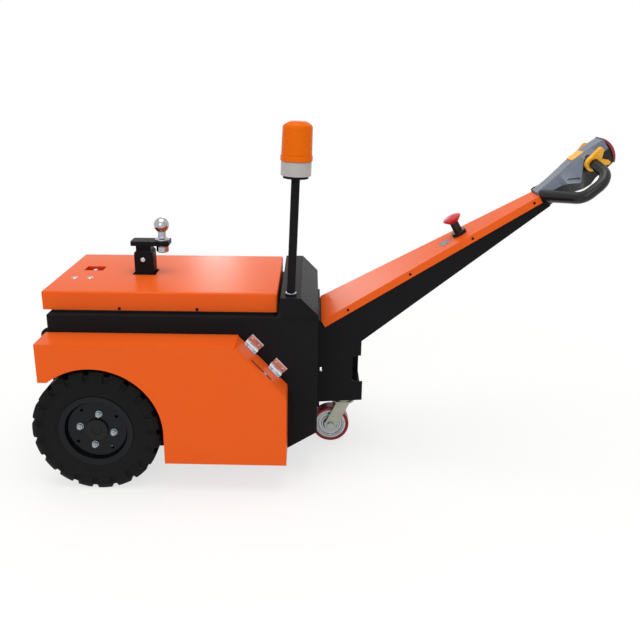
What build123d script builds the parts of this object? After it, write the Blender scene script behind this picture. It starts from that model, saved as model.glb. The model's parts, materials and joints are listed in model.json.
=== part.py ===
from build123d import *
import math
import os

# Electric trailer dolly: two driven wheels under a sheet-metal body, a square receiver with a tow ball,
# and a tiller on a swivel castor that the operator walks behind. Millimetres.
# X runs from the rear clevis to the tiller head, Y across the machine, Z up from the floor.
# The drive axle is at X = 0 while the pieces are made, and the whole is moved to its base centre at the end.

SIDES = {"right": -1, "left": 1}
OVERRUN = 20          # how far a cutting solid reaches past the wall that it cuts
SEAT_GAP = 0.3        # between a piece and the seat that it is lowered on to
PIN_GAP = 0.5         # all round a pin in its bore

# Body: a welded tub with a deck, a chamfered toe and a raised console across its front
BODY_REAR = -155
BODY_FRONT = 686
BODY_WIDTH = 540
BODY_FLOOR = 101
BODY_DECK = 547
BODY_SHEET = 5
TOE_LENGTH = 93
TOE_HEIGHT = 58
DECK_MARGIN = 42      # deck strip left around the battery opening
FLOOR_SLOT_WIDTH = 190
CONSOLE_GAP = 11      # hood to console
CONSOLE_FLAT = 62
CONSOLE_HEIGHT = 62
CONSOLE_SHEET = 4
CONSOLE_LIP = 7       # upright front edge under the console's slope

# Hood: a lift-off lid on a rubber seal
HOOD_REAR = -176
HOOD_FRONT = 558
HOOD_WIDTH = 480
HOOD_HEIGHT = 60
HOOD_SHEET = 3
HOOD_ROUND = 6
SEAL_HEIGHT = 7
SEAL_WIDTH = 14
SEAL_INSET = 8        # from the hood's inside or the body's end to the seal
WINDOW_LENGTH = 65
WINDOW_WIDTH = 55
WINDOW_X = -82
WINDOW_Y = 38
PAN_DEPTH = 22
PAN_SHEET = 2
PAN_KNOB_RADIUS = 7
PAN_KNOB_HEIGHT = 12
STUD_RADIUS = 11
STUD_RISE = 4
STUD_PLACE_SHARES = ((0.079, -0.173), (0.147, -0.169))      # of the hood's length from its rear, and width

# Drive wheels: pneumatic-profile solid tyres on pressed rims
TYRE_DIAMETER = 400
TYRE_WIDTH = 98
TYRE_SIDE_GAP = 6     # tyre to the body wall, and to the fender's outer plane
TYRE_BELLY_RADIUS = 140
LUG_COUNT = 19        # to each shoulder
LUG_STAND = 3         # of the lugs' outer faces from the sidewall
LUG_ROOT_RADIUS = 168
GROOVE_SHARE = 0.27   # of the lugs' pitch
GROOVE_DEPTH = 11
GROOVE_START = 10     # from the tyre's middle plane
BEAD_RADIUS = 103
BEAD_WIDTH = 74
SHOULDER_RADIUS = 184
TREAD_WIDTH = 82
RIM_FLANGE_RADIUS = 117
RIM_FLANGE_WIDTH = 4
RIM_SHEET = 5
DISC_SETBACK = 23     # from the tyre's outer face to the disc
DISC_RADIUS = 92
BOSS_RADIUS = 35
BOSS_RISE = 8
BOSS_BORE = 16
HUB_FLANGE_RADIUS = 66
HUB_FLANGE_THICKNESS = 9
HUB_NECK_RADIUS = 30
SPINDLE_RADIUS = 13
SPINDLE_REACH = 60    # into the axle tube
BOLT_COUNT = 4
BOLT_HOLE_RADIUS = 6
BOLT_CIRCLE = 53
VENT_RADIUS = 5
VENT_CIRCLE = 77
BOLT_TURN = 10        # degrees

# Drive unit: axle tube, differential case and motor
AXLE_TUBE_RADIUS = 32
AXLE_TUBE_END_GAP = 8
CASE_RADIUS = 78
CASE_WIDTH = 104
CASE_EDGE = 13
MOTOR_RADIUS = 56
MOTOR_LENGTH = 190
AXLE_HOLE_GAP = 2
AXLE_COLLAR_RADIUS = 58
AXLE_COLLAR_THICKNESS = 8
BATTERY_LENGTH = 250
BATTERY_SIDE_GAP = 30
BATTERY_HEIGHT = 230

# Fenders: folded boxes that hold a locker ahead of each wheel
FENDER_REAR = -162
FENDER_FRONT = 592
FENDER_TOP = 490
FENDER_FLOOR = 99
FENDER_SHEET = 3
LOBE_FLOOR = 366
ARCH_GAP = 13         # tyre to arch
SLOPE_LENGTH = 152    # of the lid's slope along X
SLOPE_DROP = 161
LID_SHEET = 4
LID_END_GAP = 2
LID_RIM = 16          # flange that the lid lies on
SLOT_LENGTH = 88
SLOT_WIDTH = 11
SLOT_EDGE = 24        # from the lid's outer edge

# Lid hinges
HINGE_BARREL_RADIUS = 5
HINGE_LEAF = 2.5
HINGE_STANDOFF = 1      # body wall to barrel
HINGE_LENGTH = 50
HINGE_REACH = 24
HINGE_KNUCKLE_GAP = 0.5
HINGE_SHARES = (0.24, 0.72)      # of the slope, from its top

# Receiver and tow ball
RECEIVER_X = 102
RECEIVER_SQUARE = 63.5
RECEIVER_WALL = 6.35
RECEIVER_CORNER = 12  # chamfer of the two side walls' top corners
RECEIVER_RISE = 84    # above the hood
BRIDGE_LENGTH = 110
BRIDGE_THICKNESS = 8
COLLAR_GAP = 7        # hood to receiver
SHANK_GAP = 0.5
SHANK_DEPTH = 150
SHANK_SHOW = 12
PLATE_REAR = 60
PLATE_FRONT = 188
PLATE_WIDTH = 62
PLATE_THICKNESS = 15
PLATE_ROUND = 7
PIN_RADIUS = 8
PIN_DROP = 33         # below the receiver's top
PIN_STAND = 9
PIN_EDGE = 1.5
PIN_HEAD_RADIUS = 13  # on the left
PIN_HEAD_LENGTH = 8
BALL_RADIUS = 25.4
BALL_X = 162
BALL_RISE = 51        # ball centre above the plate
BALL_NECK_RADIUS = 14
BALL_FLANGE_RADIUS = 24
BALL_FLANGE_HEIGHT = 9
BALL_SHANK_RADIUS = 9.5
BALL_SHANK_LENGTH = 28
NUT_FLATS = 36
NUT_HEIGHT = 22
WASHER_RADIUS = 20
WASHER_THICKNESS = 4

# Beacon
BEACON_EDGE = 39      # pole to the body's side
BEACON_LEAN = 2     # degrees
POLE_RADIUS = 13
POLE_LENGTH = 358
GROMMET_RADIUS = 18
GROMMET_HEIGHT = 5
BRACKET_RADIUS = 38
BRACKET_HEIGHT = 8
BEACON_BASE_RADIUS = 45
BEACON_BASE_EDGE = 3
BEACON_BASE_HEIGHT = 43
LENS_RADIUS = 44
LENS_RIM = 4          # how far the rim stands out
LENS_RIM_HEIGHT = 7
LENS_HEIGHT = 113
LENS_TOP_RADIUS = 41
LENS_SHOULDER = 12
LENS_DOME = 4         # rise of the top above its shoulder
LENS_BANDS = 6
LENS_GROOVE = 1
LENS_GROOVE_WIDTH = 3

# Tiller: flange, tapered frame, cover
FLANGE_THICKNESS = 8
FLANGE_WIDTH = 355
FLANGE_TOP = 508
FLANGE_FLOOR = 205
COVER_GAP = 2         # flange to cover
COVER_LOW_Z = 493
COVER_LOW_HALF = 140
COVER_RUN = 687
COVER_RISE = 397
COVER_HIGH_HALF = 45
COVER_SHEET = 3
COVER_LIP = 25
FRAME_SHEET = 5
BOX_FRONT = 838
BOX_NOTCH_DEPTH = 35
BOX_LIP_DEPTH = 7
BOX_NOTCH_FLOOR = 273
BOX_NOTCH_TOP = 366
BOX_CORNER = 12
BOX_PLATE = 12
BEAM_HEEL_Z = 417
BEAM_TOE_X = 1425
BEAM_TOE_Z = 858

# Castor
CASTOR_RADIUS = 65
CASTOR_WIDTH = 48
CASTOR_TREAD = 11
CASTOR_X = 780
CASTOR_TRAIL = 43
CASTOR_BORE = 8
CASTOR_HUB_RADIUS = 17
CASTOR_RIM_WALL = 7   # of the core's rim, under the tread
CASTOR_WEB = 12       # of the core's web
CASTOR_NUT_RADIUS = 12
FORK_SHEET = 5
FORK_SIDE_GAP = 4
FORK_EYE_RADIUS = 21
FORK_TOP = 156
FORK_CROWN_RADIUS = 40
FORK_WAIST = 22       # half a leg's width at the crown
RACE_RADIUS = 33
RACE_GAP = 1
KING_PIN_RADIUS = 7
KING_HEAD_RADIUS = 12
KING_HEAD_HEIGHT = 7
CASTOR_PLATE_LENGTH = 105
CASTOR_PLATE_WIDTH = 85
CASTOR_PLATE_THICKNESS = 6

# Emergency stop, on the cover
STOP_SHARE = 0.66     # of the cover's length
STOP_FLANGE_RADIUS = 24
STOP_FLANGE_HEIGHT = 12
STOP_NECK_RADIUS = 14
STOP_NECK_HEIGHT = 34
STOP_KNOB_RADIUS = 30
STOP_KNOB_HEIGHT = 24
STOP_KNOB_EDGE = 5
STOP_KNOB_DOME = 7
STOP_KNOB_WAIST = 17

# Tiller head, in its own slanted frame
HEAD_X = 1383
HEAD_Z = 893
HEAD_SLOPE = 38       # degrees
HEAD_LENGTH = 250
HEAD_DEPTH = 58       # of the floor below the frame's line
HEAD_HALF = 74        # half the width at the wings
# Each section, as shares: where it lies of the length; then level of the depth and half width of the
# head's half, at the top face's edge, at the parting line between the two mouldings, and at the floor
HEAD_SECTION_SHARES = (
    (-0.06, 0.12, 0.36, -0.10, 0.49, -0.90, 0.41),
    (0.16, 0.17, 0.36, -0.24, 0.55, -0.88, 0.43),
    (0.28, 0.23, 0.36, -0.28, 0.65, -0.90, 0.46),
    (0.34, 0.27, 0.36, -0.31, 0.86, -0.98, 0.52),
    (0.47, 0.36, 0.36, -0.63, 1.00, -1.14, 0.62),
    (0.58, 0.42, 0.36, -0.20, 0.76, -1.18, 0.60),
    (0.67, 0.44, 0.35, 0.18, 0.60, -1.06, 0.54),
    (0.82, 0.45, 0.38, 0.16, 0.58, -1.00, 0.50),
    (0.89, 0.45, 0.42, -0.12, 0.55, -0.98, 0.47),
    (1.00, 0.42, 0.46, -0.12, 0.53, -0.90, 0.44),
)
POCKET_SHARE = 0.43   # of the head's length
POCKET_LENGTH = 38
POCKET_WIDTH = 12
POCKET_DEPTH = 5
POCKET_EDGE = 16      # from the wing's edge
GRIP_RADIUS = 15.5    # at the throttle
GRIP_ARM_RADIUS = 20  # where the arm enters the neck
GRIP_HALF_WIDTH = 150
GRIP_FRONT = 181
GRIP_REAR = 84
GRIP_FRONT_DROP = 50
GRIP_REAR_DROP = 56
GRIP_BEND = 45
GRIP_ROOT_FRONT = 2
GRIP_ROOT_REAR = -10
GRIP_ROOT_HALF = 32
GRIP_ROOT_START = 6
RING_RADIUS = 26
RING_WIDTH = 13
RING_GAP = 13         # head to ring
RING_BORE_GAP = 0.8
LOBE_THICKNESS = 10
LOBE_TURNS = (-34, 40)        # degrees
# Each lobe's reach from the grip's middle, its root's radius and its tip's, as shares of the ring's radius
LOBE_SHARES = ((2.0, 0.92, 0.42), (2.3, 0.58, 0.25))
HORN_START = 140
HORN_END = 183
HORN_RISE = 1.5
HORN_THICKNESS = 6
HORN_SECTION = 6      # of the head's sections, whose top edge the horn button follows
GRIP_SECTION = 7      # from whose side the grips leave
NOSE_BULGE = 16
NOSE_LEAN = 10        # back from top to floor
NOSE_HALF = 35
NOSE_SHEET = 9
NOSE_TOP = 28
NOSE_FLOOR = 58
NOSE_CORE_HALF = 28

# Rear tow clevis
CLEVIS_LEVEL = 395
CLEVIS_REACH = 83     # body wall to the pin hole
CLEVIS_RADIUS = 27
CLEVIS_BORE = 10.5
CLEVIS_THICKNESS = 12
CLEVIS_SPACE = 68     # between the two lugs
CLEVIS_PLATE_WIDTH = 150
CLEVIS_PLATE_HEIGHT = 110
CLEVIS_PLATE_THICKNESS = 8

# Worked out from the sizes above
AXLE_Z = TYRE_DIAMETER / 2
BODY_HALF = BODY_WIDTH / 2
WHEEL_Y = BODY_HALF + TYRE_SIDE_GAP + TYRE_WIDTH / 2
FENDER_OUT = WHEEL_Y + TYRE_WIDTH / 2 + TYRE_SIDE_GAP
ARCH_RADIUS = TYRE_DIAMETER / 2 + ARCH_GAP
HOOD_FLOOR = BODY_DECK + SEAL_HEIGHT
HOOD_TOP = HOOD_FLOOR + HOOD_HEIGHT
CONSOLE_TOP = BODY_DECK + CONSOLE_HEIGHT
CONSOLE_REAR = HOOD_FRONT + CONSOLE_GAP
BEACON_X = CONSOLE_REAR + CONSOLE_FLAT / 2
BEACON_Y = -(BODY_HALF - BEACON_EDGE)
RECEIVER_TOP = HOOD_TOP + RECEIVER_RISE
PIN_LEVEL = RECEIVER_TOP - PIN_DROP
SLOPE_TOP_X = FENDER_FRONT - SLOPE_LENGTH
SLOPE_SPAN = math.hypot(SLOPE_LENGTH, SLOPE_DROP)
HINGE_Y = BODY_HALF + HINGE_STANDOFF + HINGE_BARREL_RADIUS
PLATE_FLOOR = RECEIVER_TOP + SHANK_SHOW
PLATE_TOP = PLATE_FLOOR + PLATE_THICKNESS
SHANK_SQUARE = RECEIVER_SQUARE - 2 * RECEIVER_WALL - 2 * SHANK_GAP
FLANGE_FACE = BODY_FRONT + FLANGE_THICKNESS
COVER_LOW_X = FLANGE_FACE + COVER_GAP
COVER_SPAN = math.hypot(COVER_RUN, COVER_RISE)
CASTOR_PLATE_FLOOR = FLANGE_FLOOR - CASTOR_PLATE_THICKNESS

STANDING = (Align.CENTER, Align.CENTER, Align.MIN)      # a round solid's foot at its origin
SIDE = Plane(origin=(0, 0, 0), x_dir=(1, 0, 0), z_dir=(0, -1, 0))      # drawn in X and Z
SLOPE = Plane(
    origin=(SLOPE_TOP_X, 0, FENDER_TOP),
    x_dir=(SLOPE_LENGTH, 0, -SLOPE_DROP),
    z_dir=(SLOPE_DROP, 0, SLOPE_LENGTH),
)      # down the lid, across, and out of it
COVER = Plane(
    origin=(COVER_LOW_X, 0, COVER_LOW_Z),
    x_dir=(COVER_RUN, 0, COVER_RISE),
    z_dir=(-COVER_RISE, 0, COVER_RUN),
)      # up the tiller, across, and out of the cover
HEAD = Plane(
    origin=(HEAD_X, 0, HEAD_Z),
    x_dir=(math.cos(math.radians(HEAD_SLOPE)), 0, math.sin(math.radians(HEAD_SLOPE))),
    z_dir=(-math.sin(math.radians(HEAD_SLOPE)), 0, math.cos(math.radians(HEAD_SLOPE))),
)      # up the head, across, and out of its top


def side_prism(outline, y_low, y_high):
    """An outline drawn in X and Z, as a solid from y_low to y_high."""
    return Pos(0, y_high, 0) * extrude(SIDE * outline, amount=y_high - y_low, dir=SIDE.z_dir)


def side_polygon(*points):
    return Polygon(*points, align=None)


def block(x_low, x_high, y_low, y_high, z_low, z_high):
    """A box between two corners."""
    size = (x_high - x_low, y_high - y_low, z_high - z_low)
    return Pos(x_low, y_low, z_low) * Box(*size, align=(Align.MIN, Align.MIN, Align.MIN))


def post(radius, z_low, z_high):
    """A round bar on the Z axis."""
    return Pos(0, 0, z_low) * Cylinder(radius, z_high - z_low, align=STANDING)


def crossbar(radius, y_low, y_high):
    """A round bar on the Y axis."""
    return Pos(0, y_high, 0) * Rot(90, 0, 0) * post(radius, 0, y_high - y_low)


def dome(radius, z_low, z_high):
    """A shallow round cap on the Z axis, turned from an arc."""
    reach = (radius**2 + (z_high - z_low) ** 2) / (2 * (z_high - z_low))
    cap = Pos(0, 0, z_high - reach) * Sphere(reach)
    return cap & post(radius, z_low, z_high)


def turned(*points):
    """A ring or disc turned about the Y axis: points are along Y and out from it."""
    return revolve(Plane.YZ * Polygon(*points, align=None), axis=Axis.Y)


# Body


def body_outline():
    return side_polygon(
        (BODY_REAR, BODY_FLOOR),
        (BODY_FRONT - TOE_LENGTH, BODY_FLOOR),
        (BODY_FRONT, BODY_FLOOR + TOE_HEIGHT),
        (BODY_FRONT, BODY_DECK),
        (BODY_REAR, BODY_DECK),
    )


def deck_opening(z_low, z_high):
    """The battery opening in the deck, under the hood."""
    half = HOOD_WIDTH / 2 - DECK_MARGIN
    return block(BODY_REAR + DECK_MARGIN, HOOD_FRONT - DECK_MARGIN, -half, half, z_low, z_high)


def chassis_tub():
    inner = offset(body_outline(), amount=-BODY_SHEET, kind=Kind.INTERSECTION)
    tub = side_prism(body_outline(), -BODY_HALF, BODY_HALF)
    tub -= side_prism(inner, -BODY_HALF + BODY_SHEET, BODY_HALF - BODY_SHEET)
    tub -= deck_opening(BODY_DECK - OVERRUN, BODY_DECK + OVERRUN)
    tub -= Pos(0, 0, AXLE_Z) * crossbar(AXLE_TUBE_RADIUS + AXLE_HOLE_GAP, -BODY_WIDTH, BODY_WIDTH)
    slot_rear = -CASE_RADIUS - DECK_MARGIN / 2
    slot_front = CASE_RADIUS + MOTOR_LENGTH + DECK_MARGIN / 2
    half = FLOOR_SLOT_WIDTH / 2
    tub -= block(slot_rear, slot_front, -half, half, BODY_FLOOR - OVERRUN, BODY_FLOOR + OVERRUN)
    return tub


def console():
    outline = side_polygon(
        (CONSOLE_REAR, BODY_DECK),
        (CONSOLE_REAR, CONSOLE_TOP),
        (CONSOLE_REAR + CONSOLE_FLAT, CONSOLE_TOP),
        (BODY_FRONT, BODY_DECK + CONSOLE_LIP),
        (BODY_FRONT, BODY_DECK),
    )
    hollow = offset(outline, amount=-CONSOLE_SHEET, kind=Kind.INTERSECTION)
    shell = side_prism(outline, -BODY_HALF, BODY_HALF)
    return shell - side_prism(hollow, -BODY_HALF + CONSOLE_SHEET, BODY_HALF - CONSOLE_SHEET)


def battery_pack():
    rear = CASE_RADIUS + MOTOR_LENGTH + DECK_MARGIN
    half = BODY_HALF - BODY_SHEET - BATTERY_SIDE_GAP
    floor = BODY_FLOOR + BODY_SHEET
    return block(rear, rear + BATTERY_LENGTH, -half, half, floor, floor + BATTERY_HEIGHT)


def transaxle():
    """Axle tube, differential case and motor in one casting, bolted to the body's walls by its collars."""
    tube_end = WHEEL_Y - TYRE_WIDTH / 2 + AXLE_TUBE_RADIUS
    unit = crossbar(AXLE_TUBE_RADIUS, -tube_end, tube_end)
    case = crossbar(CASE_RADIUS, -CASE_WIDTH / 2, CASE_WIDTH / 2)
    unit += chamfer(case.edges().filter_by(GeomType.CIRCLE), CASE_EDGE)
    unit += Rot(0, 90, 0) * post(MOTOR_RADIUS, 0, CASE_RADIUS + MOTOR_LENGTH)
    wall = BODY_HALF - BODY_SHEET
    unit += crossbar(AXLE_COLLAR_RADIUS, wall - AXLE_COLLAR_THICKNESS, wall)
    unit += crossbar(AXLE_COLLAR_RADIUS, -wall, -wall + AXLE_COLLAR_THICKNESS)
    unit -= crossbar(SPINDLE_RADIUS + PIN_GAP, tube_end - SPINDLE_REACH, tube_end + OVERRUN)
    unit -= crossbar(SPINDLE_RADIUS + PIN_GAP, -tube_end - OVERRUN, -tube_end + SPINDLE_REACH)
    return Pos(0, 0, AXLE_Z) * unit


# Hood


def hood():
    half = HOOD_WIDTH / 2
    shell = block(HOOD_REAR, HOOD_FRONT, -half, half, HOOD_FLOOR, HOOD_TOP)
    rounded = shell.edges().filter_by(Axis.Z) + shell.edges().group_by(Axis.Z)[-1]
    shell = fillet(rounded, HOOD_ROUND)
    wall = HOOD_SHEET
    inner = half - wall
    shell -= block(
        HOOD_REAR + wall, HOOD_FRONT - wall, -inner, inner, HOOD_FLOOR - OVERRUN, HOOD_TOP - wall
    )
    shell -= window_cut(0)
    reach = RECEIVER_SQUARE / 2 + COLLAR_GAP
    shell -= block(RECEIVER_X - reach, RECEIVER_X + reach, -reach, reach, HOOD_FLOOR, HOOD_TOP + OVERRUN)
    for x, y in stud_places():
        shell -= Pos(x, y, 0) * post(STUD_RADIUS / 2, HOOD_FLOOR, HOOD_TOP + OVERRUN)
    return shell


def stud_places():
    return [
        (HOOD_REAR + (HOOD_FRONT - HOOD_REAR) * along, HOOD_WIDTH * across)
        for along, across in STUD_PLACE_SHARES
    ]


def window_cut(margin):
    """The window through the hood's top, grown by a margin."""
    x, y = WINDOW_LENGTH / 2 + margin, WINDOW_WIDTH / 2 + margin
    low, high = HOOD_TOP - PAN_DEPTH, HOOD_TOP + OVERRUN
    return block(WINDOW_X - x, WINDOW_X + x, WINDOW_Y - y, WINDOW_Y + y, low, high)


def switch_pan():
    """A sunk pan under the window, with its knob."""
    x, y = WINDOW_LENGTH / 2 + PAN_SHEET, WINDOW_WIDTH / 2 + PAN_SHEET
    top = HOOD_TOP - HOOD_SHEET
    floor = HOOD_TOP - PAN_DEPTH - PAN_SHEET
    pan = block(WINDOW_X - x, WINDOW_X + x, WINDOW_Y - y, WINDOW_Y + y, floor, top) - window_cut(0)
    knob = post(PAN_KNOB_RADIUS, floor + PAN_SHEET, floor + PAN_SHEET + PAN_KNOB_HEIGHT)
    return pan + Pos(WINDOW_X, WINDOW_Y, 0) * knob


def hood_studs():
    """Two domed screws that hold the hood."""
    studs = []
    for x, y in stud_places():
        head = dome(STUD_RADIUS, HOOD_TOP, HOOD_TOP + STUD_RISE)
        shank = post(STUD_RADIUS / 2 - SEAT_GAP, HOOD_TOP - HOOD_SHEET, HOOD_TOP)
        studs.append(Pos(x, y, 0) * (head + shank))
    return Compound(studs)


def hood_seal():
    rear = BODY_REAR + SEAL_INSET
    front = HOOD_FRONT - HOOD_SHEET - SEAL_INSET
    half = HOOD_WIDTH / 2
    ring = block(rear, front, -half, half, BODY_DECK, HOOD_FLOOR)
    inner = half - SEAL_WIDTH
    return ring - block(
        rear + SEAL_WIDTH, front - SEAL_WIDTH, -inner, inner, BODY_DECK - OVERRUN, HOOD_FLOOR + OVERRUN
    )


# Wheels


def tyre(side):
    """A solid tyre with grooves between the lugs, half a pitch apart on its two shoulders."""
    half, tread, bead = TYRE_WIDTH / 2, TREAD_WIDTH / 2, BEAD_WIDTH / 2
    wall = half - LUG_STAND
    carcass = turned(
        (-bead, BEAD_RADIUS),
        (-wall, TYRE_BELLY_RADIUS),
        (-half, SHOULDER_RADIUS),
        (-tread, AXLE_Z),
        (tread, AXLE_Z),
        (half, SHOULDER_RADIUS),
        (wall, TYRE_BELLY_RADIUS),
        (bead, BEAD_RADIUS),
    )
    return wheel_place(side) * (carcass - tyre_grooves())


def tyre_grooves():
    """What lies between the lugs: each groove cuts the tread's outer band and the shoulder beside it."""
    half, top = TYRE_WIDTH / 2, AXLE_Z + OVERRUN
    floor = AXLE_Z - GROOVE_DEPTH
    profile = Polygon(
        (GROOVE_START, floor),
        (half - LUG_STAND, floor),
        (half - LUG_STAND, LUG_ROOT_RADIUS),
        (half + OVERRUN, LUG_ROOT_RADIUS),
        (half + OVERRUN, top),
        (GROOVE_START, top),
        align=None,
    )
    pitch = 360 / LUG_COUNT
    width = 2 * math.pi * AXLE_Z / LUG_COUNT * GROOVE_SHARE
    groove = extrude(Plane.YZ * profile, amount=width / 2, both=True)
    twin = Rot(0, pitch / 2, 0) * mirror(groove, about=Plane.XZ)
    return [Rot(0, step * pitch, 0) * cut for step in range(LUG_COUNT) for cut in (groove, twin)]


def wheel_place(side):
    return Pos(0, side * WHEEL_Y, AXLE_Z)


def rim(side):
    """A barrel whose flanges lie against the tyre, and a dished disc with bolt holes and vents."""
    bead, flange = BEAD_WIDTH / 2, RIM_FLANGE_RADIUS
    face = TYRE_WIDTH / 2 - DISC_SETBACK
    inner = BEAD_RADIUS - RIM_SHEET
    flare = (TYRE_WIDTH / 2 - LUG_STAND - bead) / (TYRE_BELLY_RADIUS - BEAD_RADIUS)
    lip = bead + (RIM_FLANGE_RADIUS - BEAD_RADIUS) * flare
    barrel = turned(
        (-lip, flange),
        (-lip - RIM_FLANGE_WIDTH, flange),
        (-bead - RIM_FLANGE_WIDTH, inner),
        (bead + RIM_FLANGE_WIDTH, inner),
        (lip + RIM_FLANGE_WIDTH, flange),
        (lip, flange),
        (bead, BEAD_RADIUS),
        (-bead, BEAD_RADIUS),
    )
    disc = turned(
        (side * (face - RIM_SHEET), BOSS_RADIUS),
        (side * face, BOSS_RADIUS),
        (side * face, DISC_RADIUS),
        (side * (face - RIM_SHEET), inner),
        (side * (face - RIM_SHEET - RIM_SHEET), inner),
        (side * (face - RIM_SHEET), DISC_RADIUS),
    )
    wheel = barrel + disc
    for radius, circle, turn in (
        (BOLT_HOLE_RADIUS, BOLT_CIRCLE, BOLT_TURN),
        (VENT_RADIUS, VENT_CIRCLE, BOLT_TURN + 180 / BOLT_COUNT),
    ):
        for step in range(BOLT_COUNT):
            hole = Pos(circle, 0, 0) * crossbar(radius, -TYRE_WIDTH, TYRE_WIDTH)
            wheel -= Rot(0, turn + step * 360 / BOLT_COUNT, 0) * hole
    return wheel_place(side) * wheel


def hub(side):
    """The driven hub: flange behind the disc, boss through it, spindle into the axle tube."""
    face = TYRE_WIDTH / 2 - DISC_SETBACK
    back = face - RIM_SHEET
    tube_end = -TYRE_WIDTH / 2 + AXLE_TUBE_RADIUS
    bore_floor = back - HUB_FLANGE_THICKNESS
    profile = turned(
        (side * (tube_end - SPINDLE_REACH + AXLE_TUBE_END_GAP), 0),
        (side * (tube_end - SPINDLE_REACH + AXLE_TUBE_END_GAP), SPINDLE_RADIUS),
        (side * (tube_end + AXLE_TUBE_END_GAP), SPINDLE_RADIUS),
        (side * (tube_end + AXLE_TUBE_END_GAP), HUB_NECK_RADIUS),
        (side * (back - HUB_FLANGE_THICKNESS), HUB_NECK_RADIUS),
        (side * (back - HUB_FLANGE_THICKNESS), HUB_FLANGE_RADIUS),
        (side * back, HUB_FLANGE_RADIUS),
        (side * back, BOSS_RADIUS - SEAT_GAP),
        (side * (face + BOSS_RISE), BOSS_RADIUS - SEAT_GAP),
        (side * (face + BOSS_RISE), BOSS_BORE),
        (side * bore_floor, BOSS_BORE),
        (side * bore_floor, 0),
    )
    return wheel_place(side) * profile


# Fenders, lids and hinges


def fender_outline():
    outline = side_polygon(
        (FENDER_REAR, LOBE_FLOOR),
        (FENDER_REAR, FENDER_TOP),
        (SLOPE_TOP_X, FENDER_TOP),
        (FENDER_FRONT, FENDER_TOP - SLOPE_DROP),
        (FENDER_FRONT, FENDER_FLOOR),
        (ARCH_RADIUS, FENDER_FLOOR),
        (ARCH_RADIUS, AXLE_Z),
        (0, AXLE_Z),
        (0, LOBE_FLOOR),
    )
    outline -= Pos(0, AXLE_Z) * Circle(ARCH_RADIUS)
    x, z = SLOPE_DROP / SLOPE_SPAN * LID_SHEET, SLOPE_LENGTH / SLOPE_SPAN * LID_SHEET
    return outline - side_polygon(
        (SLOPE_TOP_X, FENDER_TOP),
        (FENDER_FRONT, FENDER_TOP - SLOPE_DROP),
        (FENDER_FRONT - x, FENDER_TOP - SLOPE_DROP - z),
        (SLOPE_TOP_X - x, FENDER_TOP - z),
    )


def fender(side):
    outline = fender_outline()
    hollow = offset(outline, amount=-FENDER_SHEET, kind=Kind.INTERSECTION)
    shell = side_prism(outline, BODY_HALF, FENDER_OUT)
    shell -= side_prism(hollow, BODY_HALF - OVERRUN, FENDER_OUT - FENDER_SHEET)
    y_low, y_high = BODY_HALF + LID_RIM, FENDER_OUT - LID_RIM
    shell -= SLOPE * block(LID_RIM, SLOPE_SPAN - LID_RIM, y_low, y_high, -OVERRUN, OVERRUN)
    return mirrored(shell, side)


def mirrored(solid, side):
    """The left-hand solid as it is, or its right-hand twin."""
    return solid if side > 0 else mirror(solid, about=Plane.XZ)


def locker_lid(side):
    inner = HINGE_Y + HINGE_LEAF
    lid = SLOPE * block(
        LID_END_GAP, SLOPE_SPAN - LID_END_GAP, inner, FENDER_OUT, -LID_SHEET + SEAT_GAP, 0
    )
    y = FENDER_OUT - SLOT_EDGE
    start = (SLOPE_SPAN - SLOT_LENGTH) / 2
    slot = Pos(start + SLOT_LENGTH / 2, y) * SlotOverall(SLOT_LENGTH, SLOT_WIDTH)
    return mirrored(lid - SLOPE * extrude(slot, amount=OVERRUN, both=True), side)


def hinge_starts():
    return [share * SLOPE_SPAN - HINGE_LENGTH / 2 for share in HINGE_SHARES]


def hinge_barrel(start, end):
    return Pos(0, HINGE_Y, HINGE_BARREL_RADIUS) * Rot(0, 90, 0) * post(HINGE_BARREL_RADIUS, start, end)


def hinge_wall_leaves():
    """Leaves screwed to the body, each with its two outer knuckles and the pin."""
    leaves = []
    for start in hinge_starts():
        third = HINGE_LENGTH / 3
        face = BODY_HALF + HINGE_LEAF
        barrel_top = 2 * HINGE_BARREL_RADIUS + SEAT_GAP
        leaf = block(start, start + HINGE_LENGTH, BODY_HALF, face, barrel_top, barrel_top + HINGE_REACH)
        pin = Pos(0, HINGE_Y, HINGE_BARREL_RADIUS) * Rot(0, 90, 0)
        for low in (start, start + 2 * third):
            leaf += block(low, low + third, BODY_HALF, face, HINGE_BARREL_RADIUS, barrel_top)
            leaf += hinge_barrel(low, low + third)
        leaf += pin * post(HINGE_BARREL_RADIUS / 2, start, start + HINGE_LENGTH)
        leaves.append(SLOPE * leaf)
    return Compound([mirrored(leaf, side) for side in SIDES.values() for leaf in leaves])


def hinge_lid_leaves(side):
    """Leaves on the lid, each with its middle knuckle."""
    leaves = []
    for start in hinge_starts():
        third = HINGE_LENGTH / 3
        outer = HINGE_Y + HINGE_REACH
        leaf = block(start, start + HINGE_LENGTH, HINGE_Y + HINGE_BARREL_RADIUS, outer, 0, HINGE_LEAF)
        low, high = start + third + HINGE_KNUCKLE_GAP, start + 2 * third - HINGE_KNUCKLE_GAP
        leaf += block(low, high, HINGE_Y, outer, 0, HINGE_LEAF)
        leaf += hinge_barrel(low, high)
        pin = Pos(0, HINGE_Y, HINGE_BARREL_RADIUS) * Rot(0, 90, 0)
        leaf -= pin * post(HINGE_BARREL_RADIUS / 2 + SEAT_GAP, start, start + HINGE_LENGTH)
        leaves.append(mirrored(SLOPE * leaf, side))
    return Compound(leaves)


# Receiver and tow ball


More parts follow.
